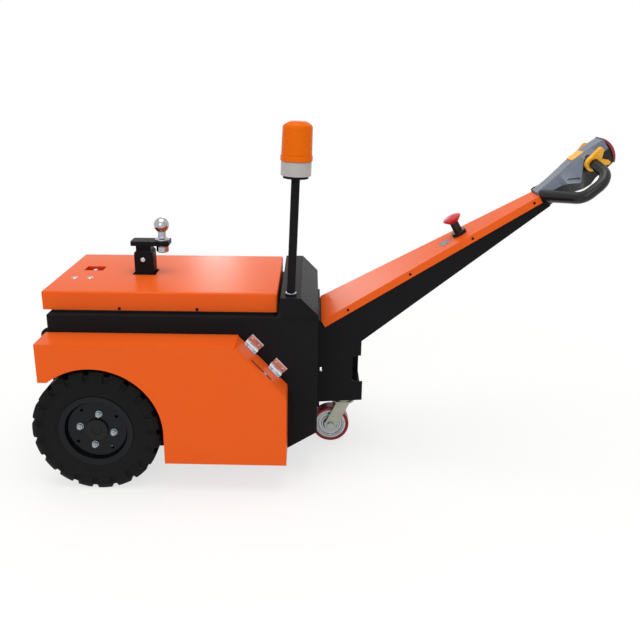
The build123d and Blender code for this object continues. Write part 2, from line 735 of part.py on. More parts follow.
def receiver():
    half = RECEIVER_SQUARE / 2
    bore = half - RECEIVER_WALL
    deck = BODY_DECK - BODY_SHEET
    width = BODY_HALF - BODY_SHEET
    x_low, x_high = RECEIVER_X - BRIDGE_LENGTH / 2, RECEIVER_X + BRIDGE_LENGTH / 2
    tube = block(-half, half, -half, half, deck, RECEIVER_TOP)
    tube = fillet(tube.edges().filter_by(Axis.Z), RECEIVER_WALL)
    corners = side_polygon(
        (-half, RECEIVER_TOP - RECEIVER_CORNER),
        (-half, RECEIVER_TOP),
        (-half + RECEIVER_CORNER, RECEIVER_TOP),
    )
    for turn in (0, 180):
        tube -= Rot(0, 0, turn) * side_prism(corners, -RECEIVER_SQUARE, RECEIVER_SQUARE)
    tube = Pos(RECEIVER_X, 0, 0) * (tube - block(-bore, bore, -bore, bore, deck, RECEIVER_TOP + OVERRUN))
    bridge = block(x_low, x_high, -width, width, deck - BRIDGE_THICKNESS, deck)
    return tube + bridge - pin_hole()


def pin_hole():
    return Pos(RECEIVER_X, 0, PIN_LEVEL) * crossbar(PIN_RADIUS + PIN_GAP, -RECEIVER_SQUARE, RECEIVER_SQUARE)


def ball_mount():
    half, wide = SHANK_SQUARE / 2, PLATE_WIDTH / 2
    shank = block(-half, half, -half, half, RECEIVER_TOP - SHANK_DEPTH, PLATE_FLOOR)
    shank = Pos(RECEIVER_X, 0, 0) * shank
    plate = block(PLATE_REAR, PLATE_FRONT, -wide, wide, PLATE_FLOOR, PLATE_TOP)
    plate = fillet(plate.edges().filter_by(Axis.Z), PLATE_ROUND)
    hole = post(BALL_SHANK_RADIUS + PIN_GAP, PLATE_FLOOR - OVERRUN, PLATE_TOP + OVERRUN)
    return shank + plate - pin_hole() - Pos(BALL_X, 0, 0) * hole


def tow_ball():
    centre = PLATE_TOP + BALL_RISE
    ball = Pos(0, 0, centre) * Sphere(BALL_RADIUS)
    neck = post(BALL_NECK_RADIUS, PLATE_TOP, centre)
    seat = Cone(BALL_FLANGE_RADIUS, BALL_NECK_RADIUS, BALL_FLANGE_HEIGHT, align=STANDING)
    shank = post(BALL_SHANK_RADIUS, PLATE_FLOOR - BALL_SHANK_LENGTH, PLATE_TOP)
    return Pos(BALL_X, 0, 0) * (ball + neck + Pos(0, 0, PLATE_TOP) * seat + shank)


def ball_nut():
    washer_floor = PLATE_FLOOR - WASHER_THICKNESS
    nut = extrude(RegularPolygon(NUT_FLATS / 2, 6, major_radius=False), amount=NUT_HEIGHT)
    nut = Pos(0, 0, washer_floor - NUT_HEIGHT) * nut + post(WASHER_RADIUS, washer_floor, PLATE_FLOOR)
    bore = post(BALL_SHANK_RADIUS + SEAT_GAP, washer_floor - NUT_HEIGHT - OVERRUN, PLATE_FLOOR + OVERRUN)
    return Pos(BALL_X, 0, 0) * (nut - bore)


def hitch_pin():
    """A plain pin whose head lies against the receiver's left side."""
    side = RECEIVER_SQUARE / 2
    pin = chamfer(crossbar(PIN_RADIUS, -side - PIN_STAND, side).edges().group_by(Axis.Y)[0], PIN_EDGE)
    head = crossbar(PIN_HEAD_RADIUS, side, side + PIN_HEAD_LENGTH)
    return Pos(RECEIVER_X, 0, PIN_LEVEL) * (pin + head)


# Beacon, which leans a little on its pole


def beacon_place():
    return Pos(BEACON_X, BEACON_Y, CONSOLE_TOP) * Rot(0, BEACON_LEAN, 0)


def beacon_pole():
    """Pole on a grommet, with the bracket disc at its top."""
    pole = post(POLE_RADIUS, 0, POLE_LENGTH + BRACKET_HEIGHT)
    pole += post(BRACKET_RADIUS, POLE_LENGTH, POLE_LENGTH + BRACKET_HEIGHT)
    foot = Pos(BEACON_X, BEACON_Y, 0) * post(GROMMET_RADIUS, CONSOLE_TOP, CONSOLE_TOP + GROMMET_HEIGHT)
    body = beacon_place() * pole + foot
    trim = 2 * GROMMET_RADIUS
    below = block(-trim, trim, -trim, trim, CONSOLE_TOP - OVERRUN, CONSOLE_TOP)
    return body - Pos(BEACON_X, BEACON_Y, 0) * below


def beacon_base():
    floor = POLE_LENGTH + BRACKET_HEIGHT
    base = post(BEACON_BASE_RADIUS, floor, floor + BEACON_BASE_HEIGHT)
    return beacon_place() * chamfer(base.edges().group_by(Axis.Z)[-1], BEACON_BASE_EDGE)


def beacon_lens():
    """The lens turned from its outline: rim, barrel with a groove between its bands, round shoulder, top."""
    floor = POLE_LENGTH + BRACKET_HEIGHT + BEACON_BASE_HEIGHT
    foot = floor + LENS_RIM_HEIGHT
    shoulder = floor + LENS_HEIGHT - LENS_DOME - LENS_SHOULDER
    rim_radius = LENS_RADIUS + LENS_RIM
    points = [(0, floor), (rim_radius, floor), (rim_radius, foot), (LENS_RADIUS, foot)]
    for band in range(1, LENS_BANDS):
        share = band / LENS_BANDS
        level = foot + (shoulder - foot) * share
        radius = LENS_RADIUS + (LENS_TOP_RADIUS - LENS_RADIUS) * share
        points.append((radius, level - LENS_GROOVE_WIDTH / 2))
        points.append((radius - LENS_GROOVE, level))
        points.append((radius, level + LENS_GROOVE_WIDTH / 2))
    points.append((LENS_TOP_RADIUS, shoulder))
    crown = (LENS_TOP_RADIUS - LENS_SHOULDER, shoulder + LENS_SHOULDER)
    side = Polyline(*points)
    turn = JernArc((LENS_TOP_RADIUS, shoulder), (0, 1), LENS_SHOULDER, 90)
    top = Polyline(crown, (0, floor + LENS_HEIGHT), (0, floor))
    return beacon_place() * revolve(Plane.XZ * make_face(side + turn + top), axis=Axis.Z)


# Tiller


def cover_half(x, inset):
    """Half the cover's width at x, less an inset."""
    share = (x - COVER_LOW_X) / COVER_RUN
    return COVER_LOW_HALF + (COVER_HIGH_HALF - COVER_LOW_HALF) * share - inset


def tiller_wedge(inset):
    """All that lies between the tiller's two side planes, less an inset."""
    ends = (FLANGE_FACE, BEAM_TOE_X + OVERRUN)
    low, high = (cover_half(x, inset) for x in ends)
    plan = Polygon((ends[0], -low), (ends[1], -high), (ends[1], high), (ends[0], low), align=None)
    return extrude(plan, amount=2 * HEAD_Z)


def tiller_flange():
    half = FLANGE_WIDTH / 2
    return block(BODY_FRONT, FLANGE_FACE, -half, half, FLANGE_FLOOR, FLANGE_TOP)


def cover_underside(x):
    return COVER_LOW_Z + COVER_RISE / COVER_RUN * (x - COVER_LOW_X) - COVER_SHEET * COVER_SPAN / COVER_RUN


def tiller_frame():
    """Two tapered side plates with the beam's web, the castor box's plate and an end plate between them."""
    heel_x = BOX_FRONT - BOX_LIP_DEPTH
    notch_x = BOX_FRONT - BOX_NOTCH_DEPTH
    run = math.hypot(BEAM_TOE_X - heel_x, BEAM_TOE_Z - BEAM_HEEL_Z)
    slope = (BEAM_TOE_X - heel_x) / run, (BEAM_TOE_Z - BEAM_HEEL_Z) / run
    neck_x = COVER_LOW_X + COVER_RUN
    outline = side_polygon(
        (FLANGE_FACE, FLANGE_FLOOR),
        (BOX_FRONT, FLANGE_FLOOR),
        (BOX_FRONT, BOX_NOTCH_FLOOR),
        (notch_x, BOX_NOTCH_FLOOR),
        (notch_x, BOX_NOTCH_TOP),
        (heel_x, BOX_NOTCH_TOP),
        (heel_x, BEAM_HEEL_Z),
        (BEAM_TOE_X, BEAM_TOE_Z),
        (neck_x, cover_underside(neck_x)),
        (FLANGE_FACE, cover_underside(FLANGE_FACE)),
    )
    corners = outline.vertices().filter_by_position(Axis.X, notch_x - PIN_GAP, notch_x + PIN_GAP)
    outline = fillet(corners, BOX_CORNER)
    reach = 2 * COVER_LOW_HALF
    inset = COVER_SHEET + SEAT_GAP
    skin = tiller_wedge(inset) - tiller_wedge(inset + FRAME_SHEET)
    web = side_polygon(
        (heel_x, BEAM_HEEL_Z),
        (BEAM_TOE_X, BEAM_TOE_Z),
        (BEAM_TOE_X - slope[1] * FRAME_SHEET, BEAM_TOE_Z + slope[0] * FRAME_SHEET),
        (heel_x - slope[1] * FRAME_SHEET, BEAM_HEEL_Z + slope[0] * FRAME_SHEET),
    )
    end = side_polygon(
        (BEAM_TOE_X, BEAM_TOE_Z),
        (neck_x, cover_underside(neck_x)),
        (neck_x - FRAME_SHEET, cover_underside(neck_x - FRAME_SHEET)),
        (BEAM_TOE_X - 2 * FRAME_SHEET, BEAM_TOE_Z - FRAME_SHEET),
    )
    plate = side_polygon(
        (FLANGE_FACE, FLANGE_FLOOR),
        (BOX_FRONT, FLANGE_FLOOR),
        (BOX_FRONT, FLANGE_FLOOR + BOX_PLATE),
        (FLANGE_FACE, FLANGE_FLOOR + BOX_PLATE),
    )
    frame = side_prism(outline, -reach, reach) & skin
    for part in (web, end, plate):
        frame += side_prism(part, -reach, reach) & tiller_wedge(inset + FRAME_SHEET)
    return frame


def tiller_cover():
    low, high = COVER_LOW_HALF, COVER_HIGH_HALF
    span = COVER_SPAN
    plan = Polygon((0, -low), (span, -high), (span, high), (0, low), align=None)
    taper = (low - high) / span * OVERRUN
    wall = COVER_SHEET
    room = Polygon(
        (-OVERRUN, -low - taper + wall),
        (span + OVERRUN, -high + taper + wall),
        (span + OVERRUN, high - taper - wall),
        (-OVERRUN, low + taper - wall),
        align=None,
    )
    cover = extrude(plan, amount=-COVER_LIP)
    return COVER * (cover - Pos(0, 0, -wall) * extrude(room, amount=-COVER_LIP))


# Emergency stop


def stop_place():
    return COVER * Pos(STOP_SHARE * COVER_SPAN, 0, 0)


def stop_body():
    body = post(STOP_FLANGE_RADIUS, 0, STOP_FLANGE_HEIGHT)
    return stop_place() * (body + post(STOP_NECK_RADIUS, 0, STOP_FLANGE_HEIGHT + STOP_NECK_HEIGHT))


def stop_knob():
    """A mushroom: a waist that flares to an upright edge, under a shallow dome."""
    floor = STOP_FLANGE_HEIGHT + STOP_NECK_HEIGHT
    rim = floor + STOP_KNOB_HEIGHT - STOP_KNOB_EDGE - STOP_KNOB_DOME
    knob = Pos(0, 0, floor) * Cone(STOP_KNOB_WAIST, STOP_KNOB_RADIUS, rim - floor, align=STANDING)
    knob += post(STOP_KNOB_RADIUS, rim, rim + STOP_KNOB_EDGE)
    return stop_place() * (knob + dome(STOP_KNOB_RADIUS, rim + STOP_KNOB_EDGE, floor + STOP_KNOB_HEIGHT))


# Tiller head


def tiller_end():
    """What the tiller's top end fills, with room round the cover: nothing of the head enters it."""
    neck_x = COVER_LOW_X + COVER_RUN
    neck_z = cover_underside(neck_x)
    run, drop = BEAM_TOE_X - neck_x, neck_z - BEAM_TOE_Z
    below = side_polygon(
        (neck_x - run, neck_z + drop),
        (BEAM_TOE_X + run, BEAM_TOE_Z - drop),
        (neck_x - run, BEAM_TOE_Z - drop),
    )
    half = COVER_LOW_HALF
    ahead = COVER * block(0, COVER_SPAN + SEAT_GAP, -half, half, -COVER_LIP - OVERRUN, OVERRUN)
    return side_prism(below, -half, half) + ahead


def head_point(row, index):
    """Level and half width of a section's edge: 0 the top face's, 1 the parting line's, 2 the floor's."""
    level_share, half_share = row[1 + 2 * index], row[2 + 2 * index]
    return level_share * HEAD_DEPTH, half_share * HEAD_HALF


def head_loft(upper, lower):
    """A ruled loft up the head between two of its edge lines."""
    sections = []
    for row in HEAD_SECTION_SHARES:
        high, high_half = head_point(row, upper)
        low, low_half = head_point(row, lower)
        corners = ((high_half, high), (low_half, low), (-low_half, low), (-high_half, high))
        place = Plane(origin=(row[0] * HEAD_LENGTH, 0, 0), x_dir=(0, 1, 0), z_dir=(1, 0, 0))
        sections.append(place * Polygon(*corners, align=None))
    return loft(sections, ruled=True)


def wing_pocket():
    """The round-ended pocket in the left wing's outer face, in the head's frame."""
    before, after = [
        max((row for row in HEAD_SECTION_SHARES if row[0] < POCKET_SHARE), key=lambda row: row[0]),
        min((row for row in HEAD_SECTION_SHARES if row[0] > POCKET_SHARE), key=lambda row: row[0]),
    ]
    share = (POCKET_SHARE - before[0]) / (after[0] - before[0])
    corners = []
    for row in (before, after):
        for index in (0, 1):
            level, half = head_point(row, index)
            corners.append(Vector(row[0] * HEAD_LENGTH, half, level))
    top = corners[0] + (corners[2] - corners[0]) * share
    edge = corners[1] + (corners[3] - corners[1]) * share
    up = (top - edge).normalized()
    along = (corners[3] - corners[1]).normalized()
    face = Plane(origin=edge + up * POCKET_EDGE, x_dir=along, z_dir=along.cross(up) * -1)
    slot = SlotOverall(POCKET_LENGTH, POCKET_WIDTH)
    return face * Pos(0, 0, -POCKET_DEPTH) * extrude(slot, amount=POCKET_DEPTH + OVERRUN)


def head_shell():
    """The upper moulding: top face, wings with their pockets, and the neck."""
    shell = head_loft(0, 1)
    pocket = wing_pocket()
    shell -= pocket
    shell -= mirror(pocket, about=Plane.XZ)
    return HEAD * (shell - nose_room()) - tiller_end()


def grip_path(side):
    """The loop's centre line: out of the head by the throttle, down and round, and back in at the neck."""
    points = (
        (GRIP_FRONT, side * GRIP_ROOT_HALF, GRIP_ROOT_FRONT),
        (GRIP_FRONT, side * GRIP_HALF_WIDTH, -GRIP_FRONT_DROP),
        (GRIP_REAR, side * GRIP_HALF_WIDTH, -GRIP_REAR_DROP),
        (GRIP_ROOT_START, side * GRIP_ROOT_HALF, GRIP_ROOT_REAR),
    )
    return FilletPolyline(*points, radius=GRIP_BEND)


def grip_loop(side):
    """A bar swept round the loop, with a thicker arm towards the neck."""
    path = grip_path(side)
    rings = [
        Plane(origin=path @ place, z_dir=path % place) * Circle(radius)
        for place, radius in ((0, GRIP_RADIUS), (1, GRIP_ARM_RADIUS))
    ]
    return sweep(rings, path=path, multisection=True)


def grip_loops():
    """The lower moulding in one with both grips, and the core that carries the belly button."""
    lower = head_loft(1, 2) - nose_room()
    lower += side_prism(nose_outline(NOSE_SHEET), -NOSE_CORE_HALF, NOSE_CORE_HALF)
    for side in SIDES.values():
        lower += grip_loop(side)
    return HEAD * (lower - head_loft(0, 1)) - tiller_end() - tiller_frame()


def throttles():
    """A butterfly on each grip's root: a ring with two lobes."""
    pieces = []
    for side in SIDES.values():
        path = grip_path(side)
        axis = path % 0
        _, half = head_point(HEAD_SECTION_SHARES[GRIP_SECTION], 1)
        start = path @ 0 + axis * (half - GRIP_ROOT_HALF + RING_GAP)
        seat = Plane(origin=start, x_dir=(1, 0, 0), z_dir=axis)
        wings = Circle(RING_RADIUS)
        for turn, (reach, root, tip) in zip(LOBE_TURNS, LOBE_SHARES):
            end = Pos((reach - tip) * RING_RADIUS, 0) * Circle(tip * RING_RADIUS)
            lobe = make_hull((end + Circle(root * RING_RADIUS)).edges())
            wings += Rot(0, 0, side * turn) * lobe
        butterfly = extrude(wings, amount=LOBE_THICKNESS) + extrude(Circle(RING_RADIUS), amount=RING_WIDTH)
        pieces.append(HEAD * seat * (butterfly - post(GRIP_RADIUS + RING_BORE_GAP, -OVERRUN, OVERRUN)))
    return Compound(pieces)


def horn_button():
    """A pad across the head's top face."""
    level, half = head_point(HEAD_SECTION_SHARES[HORN_SECTION], 0)
    top = level + HORN_RISE
    pad = block(HORN_START, HORN_END, -half, half, top - HORN_THICKNESS, top)
    return HEAD * (pad - head_loft(0, 1))


def nose_line(inset):
    """The two ends of the head's front, which leans back from its top to its floor."""
    front = HEAD_LENGTH * HEAD_SECTION_SHARES[-1][0]
    step = NOSE_LEAN * inset / (NOSE_TOP + NOSE_FLOOR)
    return (front - step, NOSE_TOP - inset), (front - NOSE_LEAN + step, -NOSE_FLOOR + inset)


def nose_room():
    """All that lies before the head's front."""
    top, floor = nose_line(0)
    front = top[0] + OVERRUN
    return side_prism(side_polygon(top, (front, top[1]), (front, floor[1]), floor), -HEAD_HALF, HEAD_HALF)


def nose_outline(inset):
    """What lies between the head's front and an arc over its nose, less an inset."""
    top, floor = nose_line(inset)
    middle = ((top[0] + floor[0]) / 2 + NOSE_BULGE - inset, (top[1] + floor[1]) / 2)
    return make_face(ThreePointArc(floor, middle, top) + Line(top, floor))


def belly_button():
    """A curved red pad over the nose."""
    pad = side_prism(nose_outline(0) - nose_outline(NOSE_SHEET), -NOSE_HALF, NOSE_HALF)
    return HEAD * pad


# Castor


def castor_place():
    return Pos(CASTOR_X, 0, 0)


def castor_plate():
    """Top plate with the upper race and the king pin."""
    length, width = CASTOR_PLATE_LENGTH / 2, CASTOR_PLATE_WIDTH / 2
    plate = block(-length, length, -width, width, CASTOR_PLATE_FLOOR, FLANGE_FLOOR)
    head_top = FORK_TOP - FORK_SHEET - RACE_GAP
    plate += post(RACE_RADIUS, FORK_TOP + RACE_GAP, CASTOR_PLATE_FLOOR)
    plate += post(KING_PIN_RADIUS, head_top, CASTOR_PLATE_FLOOR)
    return castor_place() * (plate + post(KING_HEAD_RADIUS, head_top - KING_HEAD_HEIGHT, head_top))


def castor_fork():
    """Two legs that lean back to the axle, under a round crown."""
    inner = CASTOR_WIDTH / 2 + FORK_SIDE_GAP
    outer = inner + FORK_SHEET
    crown = post(FORK_CROWN_RADIUS, FORK_TOP - FORK_SHEET, FORK_TOP)
    crown = crown & block(-FORK_CROWN_RADIUS, FORK_CROWN_RADIUS, -outer, outer, 0, FORK_TOP)
    eye = Pos(-CASTOR_TRAIL, CASTOR_RADIUS) * Circle(FORK_EYE_RADIUS)
    leg = make_hull(
        (
            eye
            + side_polygon(
                (-FORK_WAIST, FORK_TOP),
                (FORK_WAIST, FORK_TOP),
                (FORK_WAIST, FORK_TOP - FORK_SHEET),
            )
        ).edges()
    )
    fork = crown
    for side in SIDES.values():
        low, high = sorted((side * inner, side * outer))
        fork += side_prism(leg, low, high)
    fork -= post(KING_PIN_RADIUS + PIN_GAP, FORK_TOP - OVERRUN, FORK_TOP + OVERRUN)
    fork -= Pos(-CASTOR_TRAIL, 0, CASTOR_RADIUS) * crossbar(CASTOR_BORE + SEAT_GAP, -BODY_HALF, BODY_HALF)
    return castor_place() * fork


def castor_axle():
    end = CASTOR_WIDTH / 2 + FORK_SIDE_GAP + FORK_SHEET
    axle = crossbar(CASTOR_BORE, -end, end)
    for low in (-end - CASTOR_BORE, end):
        axle += crossbar(CASTOR_NUT_RADIUS, low, low + CASTOR_BORE)
    return castor_place() * Pos(-CASTOR_TRAIL, 0, CASTOR_RADIUS) * axle


def castor_wheel(inner, outer, width):
    half = width / 2
    ring = turned((-half, inner), (-half, outer), (half, outer), (half, inner))
    return castor_place() * Pos(-CASTOR_TRAIL, 0, CASTOR_RADIUS) * ring


def castor_core():
    """The wheel's centre: a hub, a thin web and a rim under the tread."""
    rim_radius = CASTOR_RADIUS - CASTOR_TREAD
    core = castor_wheel(CASTOR_BORE + PIN_GAP, CASTOR_HUB_RADIUS, CASTOR_WIDTH + FORK_SIDE_GAP)
    core += castor_wheel(CASTOR_HUB_RADIUS, rim_radius - CASTOR_RIM_WALL, CASTOR_WEB)
    return core + castor_wheel(rim_radius - CASTOR_RIM_WALL, rim_radius, CASTOR_WIDTH - FORK_SIDE_GAP)


def castor_tread():
    return castor_wheel(CASTOR_RADIUS - CASTOR_TREAD, CASTOR_RADIUS, CASTOR_WIDTH)


# Rear clevis


def tow_clevis():
    """A bolted plate with two round-ended lugs."""
    wide, tall = CLEVIS_PLATE_WIDTH / 2, CLEVIS_PLATE_HEIGHT / 2
    face = BODY_REAR - CLEVIS_PLATE_THICKNESS
    clevis = block(face, BODY_REAR, -wide, wide, CLEVIS_LEVEL - tall, CLEVIS_LEVEL + tall)
    pin_x = BODY_REAR - CLEVIS_REACH
    lug = Pos(pin_x, CLEVIS_LEVEL) * Circle(CLEVIS_RADIUS)
    lug += side_polygon(
        (pin_x, CLEVIS_LEVEL - CLEVIS_RADIUS),
        (face, CLEVIS_LEVEL - CLEVIS_RADIUS),
        (face, CLEVIS_LEVEL + CLEVIS_RADIUS),
        (pin_x, CLEVIS_LEVEL + CLEVIS_RADIUS),
    )
    for side in SIDES.values():
        low, high = sorted((side * CLEVIS_SPACE / 2, side * (CLEVIS_SPACE / 2 + CLEVIS_THICKNESS)))
        clevis += side_prism(lug, low, high)
    bore = crossbar(CLEVIS_BORE, -CLEVIS_PLATE_WIDTH, CLEVIS_PLATE_WIDTH)
    return clevis - Pos(pin_x, 0, CLEVIS_LEVEL) * bore


def all_nodes():
    nodes = {
        "chassis_tub": chassis_tub(),
        "console": console(),
        "battery_pack": battery_pack(),
        "transaxle": transaxle(),
        "hood": hood(),
        "switch_pan": switch_pan(),
        "hood_studs": hood_studs(),
        "hood_seal": hood_seal(),
        "hinge_wall_leaves": hinge_wall_leaves(),
        "receiver": receiver(),
        "ball_mount": ball_mount(),
        "tow_ball": tow_ball(),
        "ball_nut": ball_nut(),
        "hitch_pin": hitch_pin(),
        "beacon_pole": beacon_pole(),
        "beacon_base": beacon_base(),
        "beacon_lens": beacon_lens(),
        "tiller_flange": tiller_flange(),
        "tiller_frame": tiller_frame(),
        "tiller_cover": tiller_cover(),
        "stop_body": stop_body(),
        "stop_knob": stop_knob(),
        "head_shell": head_shell(),
        "grip_loops": grip_loops(),
        "throttles": throttles(),
        "horn_button": horn_button(),
        "belly_button": belly_button(),
        "castor_plate": castor_plate(),
        "castor_fork": castor_fork(),
        "castor_axle": castor_axle(),
        "castor_core": castor_core(),
        "castor_tread": castor_tread(),
        "tow_clevis": tow_clevis(),
    }
    for name, side in SIDES.items():
        nodes[f"fender_{name}"] = fender(side)
        nodes[f"locker_lid_{name}"] = locker_lid(side)
        nodes[f"hinge_lid_leaves_{name}"] = hinge_lid_leaves(side)
        nodes[f"tyre_{name}"] = tyre(side)
        nodes[f"rim_{name}"] = rim(side)
        nodes[f"hub_{name}"] = hub(side)
    return nodes


def base_shift(nodes):
    """How far the whole moves along X so that its base centre is at the origin."""
    boxes = [solid.bounding_box() for solid in nodes.values()]
    return -(min(box.min.X for box in boxes) + max(box.max.X for box in boxes)) / 2


NODES = all_nodes()
SHIFT = base_shift(NODES)

os.makedirs("parts", exist_ok=True)
for node, solid in NODES.items():
    export_step(Pos(SHIFT, 0, 0) * solid, f"parts/{node}.step")
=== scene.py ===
"""Dresses the electric trailer dolly: finishes its sheet metal and adds tread, fasteners, welds and trim.

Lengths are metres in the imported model's frame: X runs from the rear clevis to the tiller head, Y across the
machine to its left, and Z up from the floor.
"""

from __future__ import annotations

import json
import logging
import math
from collections.abc import Callable, Sequence
from dataclasses import dataclass
from enum import Enum

import bmesh
import bpy
import numpy as np
from mathutils import Matrix, Vector

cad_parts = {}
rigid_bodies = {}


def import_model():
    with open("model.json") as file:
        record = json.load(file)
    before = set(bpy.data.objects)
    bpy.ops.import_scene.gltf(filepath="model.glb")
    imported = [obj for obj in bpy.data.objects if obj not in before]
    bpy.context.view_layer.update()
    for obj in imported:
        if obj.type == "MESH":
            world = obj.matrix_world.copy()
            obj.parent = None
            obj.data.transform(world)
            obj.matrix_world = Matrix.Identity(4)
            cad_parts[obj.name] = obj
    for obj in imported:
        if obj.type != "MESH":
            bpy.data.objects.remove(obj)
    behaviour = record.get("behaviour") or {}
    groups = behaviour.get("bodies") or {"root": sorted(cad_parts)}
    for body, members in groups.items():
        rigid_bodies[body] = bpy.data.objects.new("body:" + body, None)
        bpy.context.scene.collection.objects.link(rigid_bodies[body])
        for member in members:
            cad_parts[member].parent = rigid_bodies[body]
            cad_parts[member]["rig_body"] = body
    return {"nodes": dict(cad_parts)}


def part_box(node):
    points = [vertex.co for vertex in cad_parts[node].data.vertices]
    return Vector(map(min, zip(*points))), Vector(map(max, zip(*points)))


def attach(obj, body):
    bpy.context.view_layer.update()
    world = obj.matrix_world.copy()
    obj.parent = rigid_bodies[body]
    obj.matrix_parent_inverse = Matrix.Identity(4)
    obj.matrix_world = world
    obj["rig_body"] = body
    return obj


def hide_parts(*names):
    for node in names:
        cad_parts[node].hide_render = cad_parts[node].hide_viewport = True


LOG = logging.getLogger("dolly")
IMAGE_PIXELS = 640
MERGE_DISTANCE = 0.000002
FLAT_ANGLE = math.radians(0.5)
NEARLY_PARALLEL = 0.99
UP = Vector((0, 0, 1))


class Side(Enum):
    """The machine's two sides, with the sign of Y on each."""

    RIGHT = -1
    LEFT = 1

    @property
    def label(self) -> str:
        """The side's name as the node names hold it."""
        return self.name.lower()


# Forms as whole arrays


@dataclass
class Shape:
    """A closed form: its points, and its faces in groups with the same number of corners."""

    points: np.ndarray
    faces: list[np.ndarray]

    def moved(self, matrix: Matrix) -> Shape:
        """The form carried by a matrix.

        Args:
            matrix: The 4 by 4 matrix, which is multiplied with every point.

        Returns:
            A new form with the same faces.
        """
        values = np.array(matrix, float)
        return Shape(self.points @ values[:3, :3].T + values[:3, 3], self.faces)

    def copies(self, matrices: Sequence[Matrix]) -> Shape:
        """One form that holds a copy at each matrix.

        Args:
            matrices: The places of the copies.

        Returns:
            The joined copies.
        """
        return Shape.joined([self.moved(matrix) for matrix in matrices])

    @staticmethod
    def joined(shapes: Sequence[Shape]) -> Shape:
        """Several forms as one, with the face indices shifted by the points before them.

        Args:
            shapes: The forms to join.

        Returns:
            The joined form.
        """
        starts = np.cumsum([0] + [len(shape.points) for shape in shapes[:-1]])
        faces = [group + start for shape, start in zip(shapes, starts) for group in shape.faces]
        return Shape(np.vstack([shape.points for shape in shapes]), faces)

    def volume(self) -> float:
        """Finds the enclosed volume: a sixth of the summed triple products of each face's fan of triangles.

        Returns:
            The volume, negative where the faces point inwards.
        """
        total = 0.0
        for group in self.faces:
            corners = self.points[group]
            first = corners[:, 0]
            for step in range(1, group.shape[1] - 1):
                cross = np.cross(corners[:, step], corners[:, step + 1])
                total += float(np.einsum("ij,ij->", first, cross))
        return total / 6

    def outward(self) -> Shape:
        """Turns the faces so that they point out of the form.

        Returns:
            This form, or one with every face turned round.
        """
        if self.volume() >= 0:
            return self
        return Shape(self.points, [group[:, ::-1] for group in self.faces])


def skin(rings: np.ndarray, closed: bool = False) -> Shape:
    """Covers a stack of rings with quads.

    Ring i, point j joins ring i + 1 and point j + 1. The points of a ring wrap round. The first and last
    rings are joined to each other, or else each is closed by one flat face.

    Args:
        rings: Points as an array of rings by points by three.
        closed: Whether the last ring joins the first.

    Returns:
        The covered form, facing outwards.
    """
    count, around = rings.shape[:2]
    index = np.arange(count * around).reshape(count, around)
    lower = index if closed else index[:-1]
    upper = np.roll(index, -1, axis=0) if closed else index[1:]
    quads = np.stack([lower, np.roll(lower, -1, axis=1), np.roll(upper, -1, axis=1), upper], axis=-1)
    faces = [quads.reshape(-1, 4)]
    if not closed:
        faces += [index[:1, ::-1], index[-1:]]
    return Shape(rings.reshape(-1, 3), faces).outward()


def rounded(
    corners: Sequence[Sequence[float]], radii: Sequence[float], steps: int = 6, closed: bool = False
) -> np.ndarray:
    """A polyline whose corners are arcs.

    The arc at a corner touches both runs at a distance of the radius over the tangent of half the corner's
    angle, and its points are the arc's centre plus the radius turned evenly from the first touching point to
    the second.

    Args:
        corners: The corner points, in two dimensions.
        radii: The radius at each corner, zero for a sharp one.
        steps: How many runs an arc has.
        closed: Whether the last corner joins the first.

    Returns:
        The points of the line.
    """
    points = np.array(corners, float)
    last = len(points) - 1
    line: list[np.ndarray] = []
    for place, radius in enumerate(radii):
        here = points[place]
        if radius == 0 or (not closed and place in (0, last)):
            line.append(here[None])
            continue
        back = points[place - 1] - here
        ahead = points[(place + 1) % len(points)] - here
        back, ahead = back / np.linalg.norm(back), ahead / np.linalg.norm(ahead)
        half = math.acos(float(np.clip(back @ ahead, -1, 1))) / 2
        middle = (back + ahead) / np.linalg.norm(back + ahead)
        centre = here + middle * radius / math.sin(half)
        start = here + back * radius / math.tan(half) - centre
        end = here + ahead * radius / math.tan(half) - centre
        sweep = math.pi - 2 * half
        turn = np.linspace(0, 1, steps + 1)[:, None]
        arc = (np.sin((1 - turn) * sweep) * start + np.sin(turn * sweep) * end) / math.sin(sweep)
        line.append(centre + arc)
    return np.vstack(line)


def densified(line: np.ndarray, step: float) -> np.ndarray:
    """Adds even points to the long runs of a line whose last point joins the first.

    Args:
        line: The line's points.
        step: The longest run that is left.

    Returns:
        The line with its old points and the new ones.
    """
    pieces = []
    for start, end in zip(line, np.roll(line, -1, axis=0)):
        parts = max(1, math.ceil(float(np.linalg.norm(end - start)) / step))
        pieces.append(start + (end - start) * np.arange(parts)[:, None] / parts)
    return np.vstack(pieces)


def smooth_step(value: np.ndarray) -> np.ndarray:
    """Three times the square less twice the cube of a value held between zero and one."""
    held = np.clip(value, 0, 1)
    return held * held * (3 - 2 * held)


def turned(profile: np.ndarray, sides: int, closed: bool = False) -> Shape:
    """Turns a profile about the Z axis.

    The point at angle a of profile point (r, z) is (r cos a, r sin a, z).

    Args:
        profile: Points as radius and height.
        sides: How many steps make the full turn.
        closed: Whether the profile is a loop, as in a ring.

    Returns:
        The turned form.
    """
    angle = np.linspace(0, 2 * np.pi, sides, endpoint=False)
    radius, height = profile[:, :1], profile[:, 1:]
    level = np.broadcast_to(height, (len(profile), sides))
    return skin(np.stack([radius * np.cos(angle), radius * np.sin(angle), level], axis=-1), closed)


